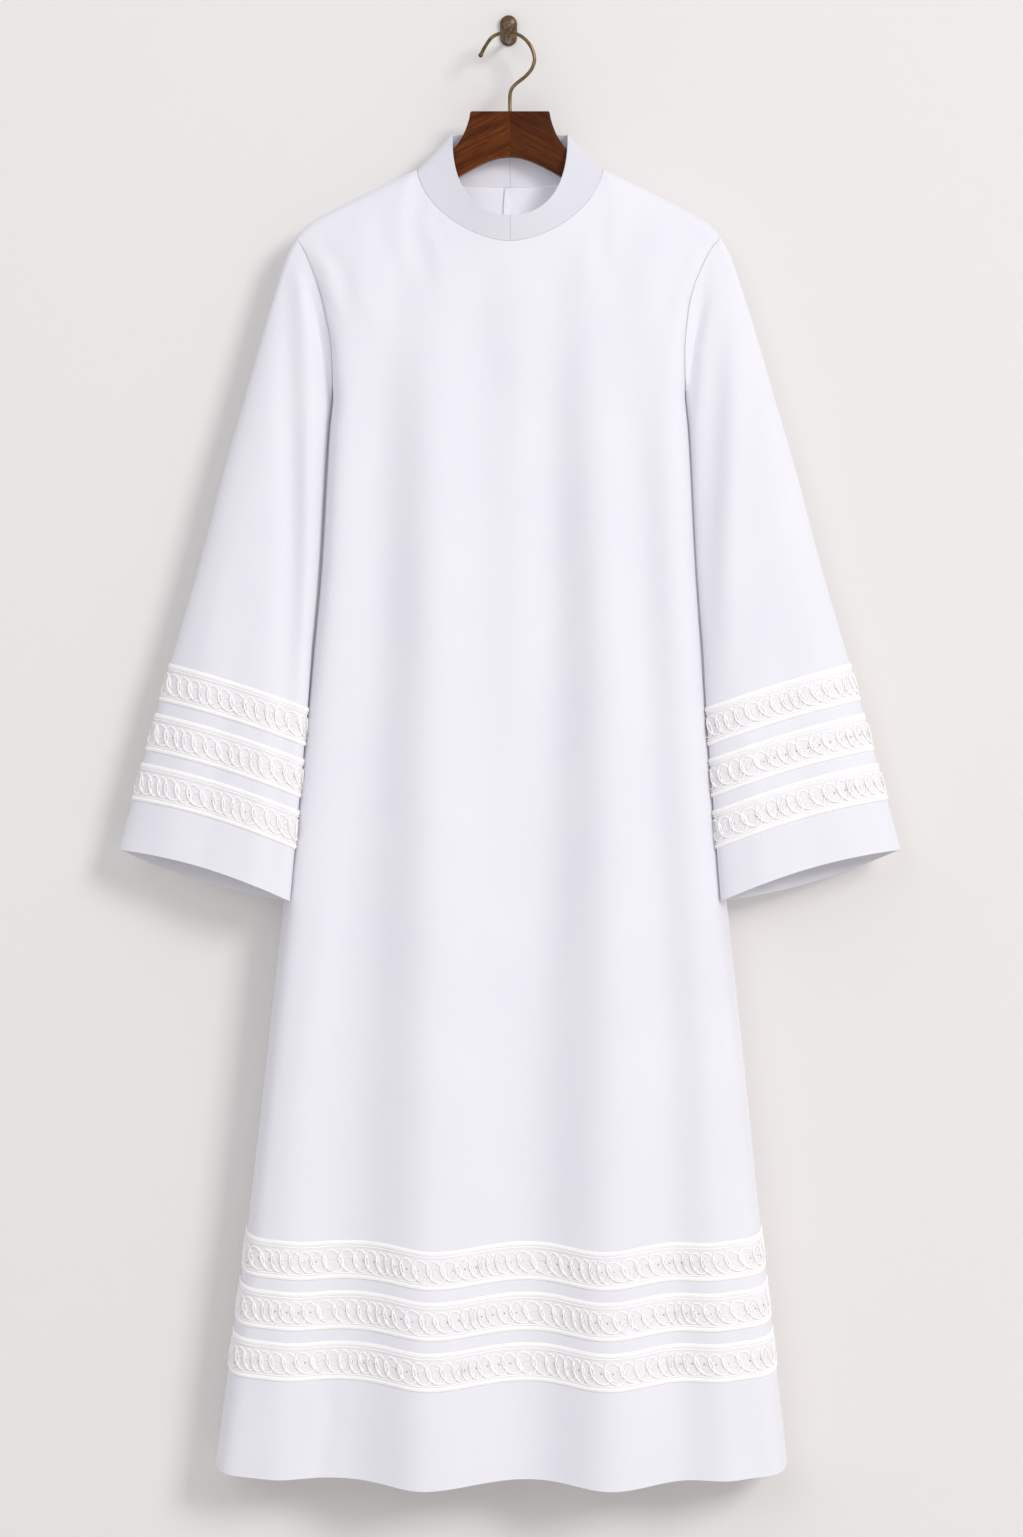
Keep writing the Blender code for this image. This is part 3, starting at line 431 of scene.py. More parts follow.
Side = namedtuple("Side", "drop left right")
BODY_SIDES = table(
    Side,
    (227, 235.4, 231.9), (241, 226.7, 220.5), (261, 217.9, 210.4), (285, 209.1, 200.8),
    (312, 202.2, 195.0), (355, 195.4, 191.6), (400, 194.5, 192.4), (439, 198.0, 195.8),
    (582, 206.8, 203.3), (670, 215.3, 210.1), (956, 248.4, 238.4), (1165, 271.4, 260.5),
    (1317, 288.9, 275.8), (1572, 323.4, 304.7),
)

# Along runs from the neck to the shoulder tip
Shoulder = namedtuple("Shoulder", "along drop")
SHOULDERS = table(
    Shoulder,
    (0.0, 151.9), (0.25, 167.5), (0.49, 183.2), (0.72, 198.6), (0.865, 209.8), (0.93, 216.6),
    (1.0, 227.0),
)

Depth = namedtuple("Depth", "drop front back")
BODY_DEPTHS = table(
    Depth,
    (150, 35, 22), (300, 37, 24), (600, 38, 27), (1000, 39, 29), (1600, 40, 30),
)

# A ridge has a positive height, a furrow a negative one. Starts is the drop where a fold begins.
Fold = namedtuple("Fold", "top hem left_reach right_reach height starts")
FRONT_FOLDS = table(
    Fold,
    (-150, -252, 26, 34, 6, 520), (-72, -93, 52, 70, 28, 330), (106, 110, 55, 62, 28, 400),
    (165, 236, 34, 26, 7, 640),
)
BACK_FOLDS = table(
    Fold,
    (-110, -190, 40, 46, -11, 420), (-45, -62, 44, 38, -13, 520), (62, 84, 42, 48, -14, 380),
    (130, 206, 38, 36, -9, 560),
)

# Shorter soft creases: where each starts and ends, as across and drop, its half width and height
Crease = namedtuple("Crease", "top_x top_drop foot_x foot_drop width height")
FRONT_CREASES = table(
    Crease,
    (-106, 166, -92, 300, 9, -1.5), (-92, 176, -78, 290, 8, 1.2), (-142, 180, -118, 330, 10, -1.5),
    (-176, 196, -146, 350, 10, 1.3), (-204, 212, -170, 330, 9, -1.7),
    (-222, 232, -186, 310, 7, 1.7), (-224, 244, -192, 340, 6, -1.8), (108, 168, 96, 290, 9, -1.4),
    (94, 180, 82, 300, 8, 1.2), (138, 180, 116, 320, 10, -1.3), (170, 194, 142, 340, 10, 1.2),
    (200, 212, 168, 330, 9, -1.6), (216, 230, 182, 310, 7, 1.6), (-30, 245, -26, 420, 14, -0.9),
    (28, 245, 34, 400, 14, 0.9), (-176, 760, -214, 1590, 14, -1.4),
    (-206, 950, -276, 1590, 12, 1.6), (-196, 1480, -206, 1600, 7, -2.0),
    (-24, 1500, -30, 1600, 8, 1.6),
)
# A flank is a slope between a furrow on its left and a ridge on its right, where x is its middle.
# A hollow sinks the cloth along x instead.
Flank = namedtuple("Flank", "drop x width height hollow", defaults=[0.0])
FRONT_FLANKS = [
    table(
        Flank,
        (195, -72, 18, 0.0), (263, -88, 22, 1.2), (340, -108, 27, 2.6), (406, -112, 29, 5.6),
        (470, -113, 30, 7.4), (625, -114, 31, 8.4), (735, -119, 33, 8.0), (950, -128, 38, 7.2),
        (1170, -138, 40, 5.2), (1330, -146, 40, 3.4), (1590, -156, 40, 2.0),
    ),
    table(
        Flank,
        (205, 58, 18, 0.0), (263, 62, 20, 1.2), (340, 66, 24, 2.8), (470, 68, 27, 6.4),
        (625, 72, 29, 8.2), (735, 74, 32, 8.2), (950, 73, 36, 7.8), (1170, 64, 38, 5.8),
        (1330, 60, 38, 3.9), (1590, 62, 38, 2.5),
    ),
    table(
        Flank,
        (380, 152, 18, 0.0), (520, 158, 19, 3.2), (735, 167, 20, 3.8), (950, 181, 22, 3.8),
        (1170, 195, 24, 3.4), (1330, 198, 24, 2.6), (1590, 207, 24, 2.0),
    ),
    table(
        Flank,
        (220, -10, 24, 0.0), (400, -8, 24, 2.0), (700, -6, 26, 1.6), (1000, 6, 28, 0.6),
        (1590, 8, 28, 0.3),
    ),
]
BACK_CREASES = table(
    Crease,
    (-90, 200, -60, 420, 16, -1.5), (96, 204, 66, 430, 16, -1.5), (-20, 420, -26, 1590, 15, 1.8),
    (32, 470, 44, 1590, 16, 2.0), (-170, 760, -236, 1590, 15, 2.2), (176, 740, 246, 1590, 15, -2.0),
)

# A small fullness makes a ring flatter across its middle, seen from above
Neck = namedtuple("Neck", "sag depth roundness fullness")
NECKS = {"front": Neck(83.2, 32.5, 1.72, 0.75), "back": Neck(17.4, 18.0, 2.0, 0.45)}


def lerp(low, high, part):
    return low + (high - low) * part


def read_table(rows, at, column):
    """Smooth values of a column where the table's first column is at, with no overshoot."""
    keys = np.array([row[0] for row in rows], float)
    values = np.array([getattr(row, column) for row in rows], float)
    at = np.clip(at, keys[0], keys[-1])
    i = np.clip(np.searchsorted(keys, at, side="right") - 1, 0, len(keys) - 2)
    rises = np.diff(values) / np.diff(keys)
    product = rises[:-1] * rises[1:]
    total = np.where(product > 0, rises[:-1] + rises[1:], 1.0)
    inner = np.where(product > 0, 2 * product / total, 0.0)
    tangents = np.concatenate([rises[:1], inner, rises[-1:]])
    width = keys[i + 1] - keys[i]
    t = (at - keys[i]) / width
    return (
        values[i] * (2 * t**3 - 3 * t**2 + 1)
        + width * tangents[i] * (t**3 - 2 * t**2 + t)
        + values[i + 1] * (3 * t**2 - 2 * t**3)
        + width * tangents[i + 1] * (t**3 - t**2)
    )


def side_half(drop, place):
    left, right = read_table(BODY_SIDES, drop, "left"), read_table(BODY_SIDES, drop, "right")
    return np.where(np.asarray(place) < 0, left, right)


def side_fullness(place):
    """One in the middle of a panel, falling to nothing where it turns into the side seam."""
    return np.sqrt(np.maximum(0.0, 1.0 - np.abs(place) ** BODY_SQUARENESS))


def neck_turn(place):
    """Angle round the neck ring, in smaller steps near the shoulder seam."""
    part = np.minimum(1.0, np.abs(place) / NECK_PLACE)
    return np.pi / 2 * (part + np.sin(np.pi / 2 * part)) / 2


def round_share(turn, power):
    return np.maximum(0.0, np.cos(turn)) ** power


def top_line(face, place):
    """X and drop of a panel's upper edge: half the neck ring, then a shoulder seam."""
    neck = NECKS[face]
    turn = neck_turn(place)
    ring_x = NECK_HALF * np.sin(turn) ** (2 / neck.roundness)
    ring_drop = NECK_SIDE_DROP + neck.sag * round_share(turn, 2 / neck.roundness)
    along = np.maximum(0.0, np.abs(place) - NECK_PLACE) / (1 - NECK_PLACE)
    seam_x = lerp(NECK_HALF, side_half(TIP_DROP, place), along)
    seam_drop = read_table(SHOULDERS, along, "drop")
    on_ring = np.abs(place) <= NECK_PLACE
    x = np.where(on_ring, ring_x, seam_x)
    return np.copysign(x, place), np.where(on_ring, ring_drop, seam_drop)


def fold_rise(face, x, drop):
    """How far the long folds lift a panel off its smooth form."""
    rise = np.zeros(np.broadcast(x, drop).shape)
    for fold in FRONT_FOLDS if face == "front" else BACK_FOLDS:
        grown = (drop - fold.starts) / (HEM_CORNER_DROP - fold.starts)
        off = x - lerp(fold.top, fold.hem, grown)
        reach = np.where(off < 0, fold.left_reach, fold.right_reach)
        rise += fold.height * np.maximum(0.0, grown) ** 1.3 * np.exp(-((off / reach) ** 2))
    return rise


def crease_rise(face, x, drop):
    """How far the shorter creases lift or sink a panel. Each fades out at both ends."""
    rise = np.zeros(np.broadcast(x, drop).shape)
    for crease in FRONT_CREASES if face == "front" else BACK_CREASES:
        part = (drop - crease.top_drop) / (crease.foot_drop - crease.top_drop)
        inside = np.clip(part, 0.0, 1.0)
        sway = 5.0 * np.sin(inside * 2.6 * np.pi + crease.top_x)
        off = x - lerp(crease.top_x, crease.foot_x, inside) - sway
        width = crease.width * (1 + 0.6 * inside)
        fade = np.sin(np.pi * inside) ** 0.7
        rise += crease.height * fade * np.exp(-((off / width) ** 2))
    return rise


def flank_rise(flanks, x, drop):
    """How far steep-sided folds lift or sink the cloth."""
    rise = 0.0
    for rows in flanks:
        off = (x - read_table(rows, drop, "x")) / read_table(rows, drop, "width")
        rise = rise + read_table(rows, drop, "height") * off * np.exp((1 - off**2) / 2)
        rise = rise - read_table(rows, drop, "hollow") * np.exp(-(off**2))
    return rise


def hem_drop(face, place):
    left, right = side_half(HEM_CORNER_DROP, -1), side_half(HEM_CORNER_DROP, 1)
    x = lerp(-left, right, (place + 1) / 2)
    sag = HEM_SAG + HEM_SAG_PER_FOLD * fold_rise(face, x, HEM_CORNER_DROP)
    return HEM_CORNER_DROP + sag * side_fullness(place)


def row_drop(face, place, level):
    """Rows follow the upper edge near level 0, and keep one distance from the hem below."""
    hem = hem_drop(face, place)
    length = hem - top_line(face, place)[1]
    upper = np.maximum(0.0, 1 - level / 0.6) ** 2
    return hem - (1 - level) * (BODY_LENGTH + (length - BODY_LENGTH) * upper)


UNDERARM_DROP = float(row_drop("front", 1.0, UNDERARM_LEVEL))


def neck_depth(face, place):
    return NECKS[face].depth * round_share(neck_turn(place), NECKS[face].fullness)


def armhole_closing(drop):
    lowered = np.maximum(0.0, drop - TIP_DROP) / (UNDERARM_DROP - TIP_DROP)
    return np.sqrt(np.maximum(0.0, 1 - lowered**4))


def shoulder_drop(x):
    """Drop of the shoulder seam at a distance from the centre line, level across the neck."""
    along = (np.abs(x) - NECK_HALF) / (side_half(TIP_DROP, x) - NECK_HALF)
    return read_table(SHOULDERS, along, "drop")


def body_depth(face, place, x, drop):
    """Distance of a panel from the plane of the side seams."""
    below = np.maximum(0.0, drop - shoulder_drop(x))
    rolled = np.sqrt(1 - (1 - np.minimum(1.0, below / SHOULDER_ROLL)) ** 2)
    base = np.hypot(SHOULDER_ROLL * rolled, neck_depth(face, place))
    eased = 1 - np.exp(-np.maximum(0.0, drop - top_line(face, place)[1]) / CHEST_EASE)
    full = lerp(base, read_table(BODY_DEPTHS, drop, face), eased)
    edge = lerp(base, ARMHOLE_HALF_DEPTH, eased) * armhole_closing(drop)
    off_seam = 1 - np.exp(-np.maximum(0.0, drop - top_line(face, place)[1]) / CREASE_EASE)
    relief = fold_rise(face, x, drop) + crease_rise(face, x, drop) * off_seam
    if face == "front":
        relief = relief + flank_rise(FRONT_FLANKS, x, drop) * off_seam
    return lerp(edge, full, side_fullness(place)) + relief * side_fullness(place)


def body_surface(face, place, level):
    """Points of the robe's outer surface. Place runs from -1 to 1, level from 0 to 1 at the hem."""
    place, level = np.broadcast_arrays(np.asarray(place, float), np.asarray(level, float))
    drop = row_drop(face, place, level)
    left = side_half(row_drop(face, -1.0, level), -1)
    right = side_half(row_drop(face, 1.0, level), 1)
    part = (place + 1) / 2
    top_x, top_drop = top_line(face, place)
    top_shift = top_x - lerp(-side_half(TIP_DROP, -1), side_half(TIP_DROP, 1), part)
    reach = np.where(top_shift * place < 0, FAN_OUT_REACH, FAN_IN_REACH)
    x = lerp(-left, right, part) + top_shift * np.exp(-(drop - top_drop) / reach)
    away = SEAM_GAP / 2 + body_depth(face, place, x, drop)
    y = HANG_Y - away if face == "front" else HANG_Y + away
    return np.stack([CENTRE_X + x, y, -drop], axis=-1)


def crowded(count):
    """Places from -1 to 1, closer together near the side seams."""
    part = np.linspace(-1, 1, count)
    return part + 0.88 * np.sin(np.pi * part) / np.pi


def cloth_levels(count, length):
    """Levels from the upper edge to the hem, closer together over the shoulder."""
    shoulder = np.array([0.0, 0.15, 0.5, 1.1, 2.0, 3.2, 4.8, 7.0, 10.0]) / length
    return np.concatenate([shoulder, np.linspace(14.0 / length, 1.0, count)])


def walked(points, axis):
    """Distance along a grid's rows or columns, in millimetres."""
    steps = np.linalg.norm(np.diff(points, axis=axis), axis=-1)
    return np.concatenate([np.zeros_like(np.take(steps, [0], axis)), np.cumsum(steps, axis=axis)], axis=axis)


def grid_normals(points, closed):
    """Outward direction at each point of a grid whose rows run down and columns rightwards."""
    if closed:
        along = np.roll(points, -1, axis=1) - np.roll(points, 1, axis=1)
    else:
        along = np.gradient(points, axis=1)
    normals = np.cross(np.gradient(points, axis=0), along)
    return normals / np.maximum(1e-9, np.linalg.norm(normals, axis=-1, keepdims=True))


def cloth_mesh(name, points, wall, closed=False):
    """A closed wall of cloth behind a grid of points, with a map of its cut in metres."""
    rows, columns = points.shape[:2]
    ring = np.concatenate([points, points[:, :1]], axis=1) if closed else points
    across, down = walked(ring, 1), walked(ring, 0)
    across = across - across[:, ring.shape[1] // 2 : ring.shape[1] // 2 + 1]
    spans = columns if closed else columns - 1
    i, j = np.divmod(np.arange((rows - 1) * spans), spans)
    run, fall, last = np.arange(spans), np.arange(rows - 1), rows - 1
    quads = [
        [(i, j, 0), (i + 1, j, 0), (i + 1, j + 1, 0), (i, j + 1, 0)],
        [(i, j + 1, 1), (i + 1, j + 1, 1), (i + 1, j, 1), (i, j, 1)],
        [(0, run, 0), (0, run + 1, 0), (0, run + 1, 1), (0, run, 1)],
        [(last, run, 0), (last, run, 1), (last, run + 1, 1), (last, run + 1, 0)],
    ]
    if not closed:
        quads += [
            [(fall, 0, 0), (fall, 0, 1), (fall + 1, 0, 1), (fall + 1, 0, 0)],
            [(fall, spans, 0), (fall + 1, spans, 0), (fall + 1, spans, 1), (fall, spans, 1)],
        ]
    corners = np.concatenate(
        [np.stack([np.stack(np.broadcast_arrays(*corner), -1) for corner in quad], 1) for quad in quads]
    )
    row, column, layer = corners[..., 0], corners[..., 1], corners[..., 2]
    both = np.stack([points, points - grid_normals(points, closed) * wall]).reshape(-1, 3)
    mesh = bpy.data.meshes.new(name)
    faces = (layer * rows + row) * columns + column % columns
    mesh.from_pydata((both * MM).tolist(), [], faces.tolist())
    cut = np.stack([across[row, column], -down[row, column]], axis=-1) * MM
    mesh.uv_layers.new(name="cut").data.foreach_set("uv", cut.ravel())
    return mesh


# White polyester and cotton: an even plain weave, matt, with a faint sheen and a cool white
# colour. The real threads are 0.35 mm apart, and are drawn at 1.2 mm so that they show.
WEAVE_PITCH = 1.2 * MM


def cloth_material(name, light, shade):
    material, tree, shader = start_material(name)
    cut = add_node(tree, "ShaderNodeUVMap", {}, uv_map="cut")
    threads = []
    for direction in ("X", "Y"):
        wave = add_node(
            tree,
            "ShaderNodeTexWave",
            {"Vector": cut.outputs[0], "Scale": 0.314 / WEAVE_PITCH, "Distortion": 0.6, "Detail": 1.0},
            wave_type="BANDS",
            bands_direction=direction,
        )
        threads.append(wave.outputs["Fac"])
    weave = add_node(tree, "ShaderNodeMath", {0: threads[0], 1: threads[1]}, operation="MULTIPLY")
    color = add_ramp(tree, noise(tree, cut, 9.0, 2.0), [(0.3, shade), (0.7, light)])
    fine = bump_of(tree, weave, 0.12, 0.0003)
    rough = bump_of(tree, noise(tree, cut, 55.0, 3.0), 0.06, 0.002, Normal=fine)
    looks = {"Roughness": 0.82, "Sheen Weight": 0.12, "Sheen Roughness": 0.5}
    set_looks(tree, shader, color.outputs[0], looks, rough)
    return material


white_cloth = cloth_material("white_polyester_cotton", "#e7e6eb", "#e4e3e9")

body_levels = cloth_levels(BODY_ROWS, BODY_LENGTH)[:, None]
front_places = crowded(BODY_COLUMNS)
front_points = body_surface("front", front_places[None, :], body_levels)
front_mesh = cloth_mesh("robe_front", front_points, CLOTH_THICKNESS)
front = finish_piece("robe_front", front_mesh, white_cloth, ["front_panel"])

half_places = (crowded(BODY_COLUMNS)[BODY_COLUMNS // 2 :])[::-1]
for name, node, places, side in (
    ("robe_back_right", "back_right", half_places, 1),
    ("robe_back_left", "back_left", -half_places[::-1], -1),
):
    back_points = body_surface("back", places[None, :], body_levels)
    centre = -1 if side > 0 else 0
    back_points[:, centre, 0] += side * SEAM_GAP / 2
    back_mesh = cloth_mesh(name, back_points, CLOTH_THICKNESS)
    back = finish_piece(name, back_mesh, white_cloth, [node])


# Collar
# A standing neckband in two halves of doubled cloth, stiffened and turned, seamed at the centre
# front and sewn to the neck. Its upper edge is a plain fold.

COLLAR_WALL = 2.0
COLLAR_GAP = 0.12
COLLAR_TOP_HALF = 63.5
COLLAR_TOP_DROP = 113.0
COLLAR_TOPS = {"front": Neck(93.9, 38.0, 2.35, 0.7), "back": Neck(-1.6, 14.0, 2.0, 0.45)}
COLLAR_EDGE_ROUND = 0.8

# The neckband's cloth is a darker copy of the white cloth: the band's shade is painted into its colour
collar_cloth_painted_shade = cloth_material("white_cloth_painted_shade", "#dad9df", "#d7d6dc")


def collar_top(face, place, sign):
    top = COLLAR_TOPS[face]
    turn = neck_turn(place)
    x = COLLAR_TOP_HALF * np.sin(turn) ** (2 / top.roundness)
    drop = COLLAR_TOP_DROP + top.sag * round_share(turn, 2 / top.roundness)
    depth = top.depth * round_share(turn, top.fullness)
    y = HANG_Y - depth if face == "front" else HANG_Y + depth
    return np.stack([CENTRE_X + sign * x, y, -drop], axis=-1)


for name, node, sign in (("collar_half_left", "collar_left", -1), ("collar_half_right", "collar_right", 1)):
    part = np.linspace(0, 1, 33) ** 0.8
    tops = np.concatenate(
        [collar_top("front", part * NECK_PLACE, sign), collar_top("back", part[-2::-1] * NECK_PLACE, sign)]
    )
    feet = np.concatenate(
        [
            body_surface("front", sign * part * NECK_PLACE, 0.0),
            body_surface("back", sign * part[-2::-1] * NECK_PLACE, 0.0),
        ]
    )
    rise = tops - feet
    feet = feet + rise / np.linalg.norm(rise, axis=1, keepdims=True) * COLLAR_GAP
    shares = np.linspace(0, 1, 15)[:, None, None]
    band = tops[None] * (1 - shares) + feet[None] * shares
    band[:, 0, 0] = band[:, -1, 0] = CENTRE_X + sign * SEAM_GAP / 2
    collar = cloth_mesh(name, band[:, ::sign], COLLAR_WALL)
    collar = finish_piece(name, collar, collar_cloth_painted_shade, [node])
    soft_edge = collar.modifiers.new("turned_edge", "BEVEL")
    soft_edge.width = COLLAR_EDGE_ROUND * MM
    soft_edge.segments = 3
    soft_edge.harden_normals = True
    soft_edge.limit_method = "ANGLE"
    soft_edge.angle_limit = math.radians(60)


# Placket
# A narrow lap behind the slit at the centre back of the neck, of the same cloth, pressed flat.

PLACKET_LEVELS = (0.0015, 0.15)
PLACKET_BEHIND = 1.7
PLACKET_ROWS = 40
# Across the lap: the distance from the centre back, and how far a welt stands off
PLACKET_COLUMNS = [(-5.5, 0.6), (-5.2, 1.0), (-2.6, 1.0), (-2.2, 0.2), (0.0, 0.0), (5.0, 0.0), (8.8, 0.0)]

levels = np.linspace(*PLACKET_LEVELS, PLACKET_ROWS)
seam = body_surface("back", 0.0, levels)
placket_points = np.stack(
    [seam + (x, -PLACKET_BEHIND - welt, 0.0) for x, welt in PLACKET_COLUMNS], axis=1
)
placket_mesh = cloth_mesh("neck_placket", placket_points, CLOTH_THICKNESS)
placket = finish_piece("neck_placket", placket_mesh, white_cloth, ["back_placket"])


# Sleeves
# Each sleeve is a flared tube, set in at the armhole with its seam under the arm, and wide at the
# cuff. It hangs almost flat beside the body, with its lower edge just in front of the side seam.

SLEEVE_LENGTH = 600.0
SLEEVE_SQUARENESS = 2.4
CUFF_OUTER_DROP = 900.1
CUFF_INNER_DROP = 955.7
OUTER_EDGE_UPRIGHTNESS = 0.9636
INNER_EDGE_UPRIGHTNESS = 0.996
CUFF_BOW = 9.0
SLEEVE_CLEARANCE = 0.4
SLEEVE_COLUMNS = 132

Edge = namedtuple("Edge", "drop half")
SLEEVE_OUTER_EDGE = table(
    Edge,
    (227, 233.8), (250, 245.0), (277, 254.0), (330, 270.4), (411, 293.5), (485, 315.0),
    (582, 340.4), (695, 373.2), (900.1, 430.0),
)

# Overlap is how far the sleeve's inner edge lies over the body's side, and forward how far in front
Inner = namedtuple("Inner", "drop overlap forward")
SLEEVE_INNER_EDGE = table(
    Inner,
    (400, -0.5, 0), (560, -1.2, 8), (670, -0.8, 16), (741, 2.0, 23), (858, 5.6, 29), (956, 8.2, 32),
)

SleeveDepth = namedtuple("SleeveDepth", "level front back")
SLEEVE_DEPTHS = table(
    SleeveDepth,
    (0.0, 20, 18), (0.25, 24, 20), (0.65, 26, 22), (1.0, 28, 24),
)

# Creases down a sleeve: part is 0 at the outer edge and 1 at the inner one
SleeveCrease = namedtuple("SleeveCrease", "top_part top_level foot_part foot_level width height")
SLEEVE_CREASES = {
    "front": [
        SleeveCrease(0.2, 0.35, 0.26, 1.0, 0.09, 1.4),
        SleeveCrease(0.45, 0.5, 0.5, 1.0, 0.08, -1.6),
        SleeveCrease(0.76, 0.6, 0.78, 1.0, 0.07, 1.6),
    ],
    "back": table(
        SleeveCrease,
        (0.8, 0.0, 0.86, 0.5, 0.1, -3.0), (0.35, 0.02, 0.5, 0.7, 0.12, -2.6),
        (0.24, 0.4, 0.3, 1.0, 0.09, 2.2), (0.64, 0.4, 0.7, 1.0, 0.09, -2.0),
    ),
}

# On a sleeve's front, where x grows to the right on both: a flank beside the inner edge, then the
# hollow between the armhole seam and the fold that starts at the shoulder
SLEEVE_FLANKS = {
    -1: [
        table(
            Flank,
            (245, -244, 10, 0.0), (290, -236, 11, 2.4), (406, -231, 12, 3.4), (461, -229, 12, 4.4),
            (582, -228, 12, 6.0), (660, -230, 12, 5.6), (741, -233, 12, 3.6), (858, -243, 12, 2.0),
            (950, -250, 12, 1.0),
        ),
        table(
            Flank,
            (240, -228, 6, 0.0, 0.0), (279, -219, 7, 0.0, 5.0), (332, -208, 9, 0.0, 8.0),
            (373, -202, 9, 0.0, 7.0), (450, -196, 7, 0.0, 0.0),
        ),
    ],
    1: [
        table(
            Flank,
            (300, 240, 10, 0.0), (384, 235, 12, 2.4), (450, 232, 13, 4.0), (582, 224, 15, 4.6),
            (650, 221, 16, 3.0), (760, 220, 18, 0.0),
        ),
        table(
            Flank,
            (236, 222, 6, 0.0, 0.0), (263, 215, 7, 0.0, 4.0), (325, 203, 9, 0.0, 8.0),
            (362, 198, 9, 0.0, 7.0), (450, 196, 7, 0.0, 0.0),
        ),
    ],
}


def sleeve_reach(edge_length, level):
    """Distance above the cuff of a sleeve's row at an edge, one for all columns in its lower part."""
    upper = np.maximum(0.0, 1 - level / 0.6) ** 2
    return (1 - level) * (SLEEVE_LENGTH + (edge_length - SLEEVE_LENGTH) * upper)


def sleeve_edges(level, side):
    """Half and drop of the outer and the inner edge, and how far the inner one is forward."""
    outer_length = (CUFF_OUTER_DROP - TIP_DROP) / OUTER_EDGE_UPRIGHTNESS
    outer_drop = CUFF_OUTER_DROP - sleeve_reach(outer_length, level) * OUTER_EDGE_UPRIGHTNESS
    outer_half = read_table(SLEEVE_OUTER_EDGE, outer_drop, "half")
    inner_length = (CUFF_INNER_DROP - UNDERARM_DROP) / INNER_EDGE_UPRIGHTNESS
    inner_drop = CUFF_INNER_DROP - sleeve_reach(inner_length, level) * INNER_EDGE_UPRIGHTNESS
    inner_half = side_half(inner_drop, side) - read_table(SLEEVE_INNER_EDGE, inner_drop, "overlap")
    forward = read_table(SLEEVE_INNER_EDGE, inner_drop, "forward")
    return outer_half, outer_drop, inner_half, inner_drop, forward


def sleeve_crease_rise(face, part, level):
    rise = np.zeros(np.broadcast(part, level).shape)
    for crease in SLEEVE_CREASES[face]:
        along = np.clip((level - crease.top_level) / (crease.foot_level - crease.top_level), 0.0, 1.0)
        off = part - lerp(crease.top_part, crease.foot_part, along)
        fade = np.sin(np.pi * np.minimum(along, 0.5)) if crease.foot_level == 1.0 else np.sin(np.pi * along)
        rise += crease.height * fade * np.exp(-((off / crease.width) ** 2))
    return rise


def sleeve_side(face, side, part, level):
    """Points of one face of a sleeve. Part runs from the outer edge to the inner edge."""
    part, level = np.broadcast_arrays(np.asarray(part, float), np.asarray(level, float))
    outer_half, outer_drop, inner_half, inner_drop, forward = sleeve_edges(level, side)
    half = lerp(outer_half, inner_half, part)
    drop = lerp(outer_drop, inner_drop, part)
    start = sleeve_edges(0.0, side)
    armhole_drop = lerp(TIP_DROP, UNDERARM_DROP, part)
    seam_half = side_half(armhole_drop, side)
    fade = np.maximum(0.0, 1 - level / 0.35) ** 2
    half = half + fade * (seam_half + SLEEVE_CLEARANCE - lerp(start[0], start[2], part))
    drop = drop + fade * (armhole_drop - lerp(start[1], start[3], part))
    bow = CUFF_BOW * level**3 * 4 * part * (1 - part)
    drop = drop + (-bow if face == "front" else bow)
    lens = np.sqrt(np.maximum(0.0, 1 - np.abs(2 * part - 1) ** SLEEVE_SQUARENESS))
    relief = sleeve_crease_rise(face, part, level) * lens
    hung = read_table(SLEEVE_DEPTHS, level, face) * lens + relief
    opened = body_depth(face, float(side), side * seam_half, armhole_drop) + SEAM_GAP / 2
    depth = lerp(hung, opened, np.maximum(0.0, 1 - level / 0.2) ** 2)
    if face == "front":
        flanks = flank_rise(SLEEVE_FLANKS[side], side * half, drop)
        depth = depth + flanks * lens * np.minimum(1.0, level / 0.03)
    middle = HANG_Y - forward * part
    y = middle - depth if face == "front" else middle + depth
    return np.stack([CENTRE_X + side * half, y, -drop], axis=-1)


def sleeve_surface(side, turn, level):
    """Points right round a sleeve: turn is 0 at the outer edge, 0.5 at the inner, 1 back again."""
    turn, level = np.broadcast_arrays(np.asarray(turn, float) % 1.0, np.asarray(level, float))
    part = 0.5 - 0.5 * np.cos(2 * np.pi * turn)
    front = sleeve_side("front", side, part, level)
    back = sleeve_side("back", side, part, level)
    return np.where((turn < 0.5)[..., None], front, back)


sleeve_levels = np.concatenate([np.linspace(0, 0.06, 12)[:-1], np.linspace(0.06, 1.0, 125)])[:, None]
for name, node, side in (("sleeve_tube_left", "sleeve_left", -1), ("sleeve_tube_right", "sleeve_right", 1)):
    turns = np.arange(SLEEVE_COLUMNS) / SLEEVE_COLUMNS
    if side > 0:
        turns = turns[::-1]
    sleeve_points = sleeve_surface(side, turns[None, :], sleeve_levels)
    sleeve_mesh = cloth_mesh(name, sleeve_points, CLOTH_THICKNESS, closed=True)
    sleeve = finish_piece(name, sleeve_mesh, white_cloth, [node])


# Hem lace
# Three bands of white cotton cord lace go right round the skirt. Each is a strip of fine net with
# interlaced rings of raised cord, and a braid along both edges, sewn flat on the cloth.

BAND_HEIGHT = 42.5
BAND_COUNT = 3
HEM_BAND_FOOT = 107.0
HEM_BAND_GAP = 12.5
RING_PITCH = 13.0
RING_HEIGHT = 25.0
RING_WIDTH = 15.0
RING_LEAN = 0.46
RING_MIDDLE = 19.8
CORD_RADIUS = 0.95
RIB_PITCH = 1.6
CURL_WIDTH = 5.5
CURL_HEIGHT = 8.0
CURL_RADIUS = 0.42
WINDING_RADIUS = 0.55
RIB_RADIUS = 0.2
# Each braid's middle and half width, and the middle of the round cord inside it
BRAIDS = ((2.6, 2.5, 6.3), (39.6, 2.8, 35.6))
NET_RISE = 0.45
NET_WALL = 0.3


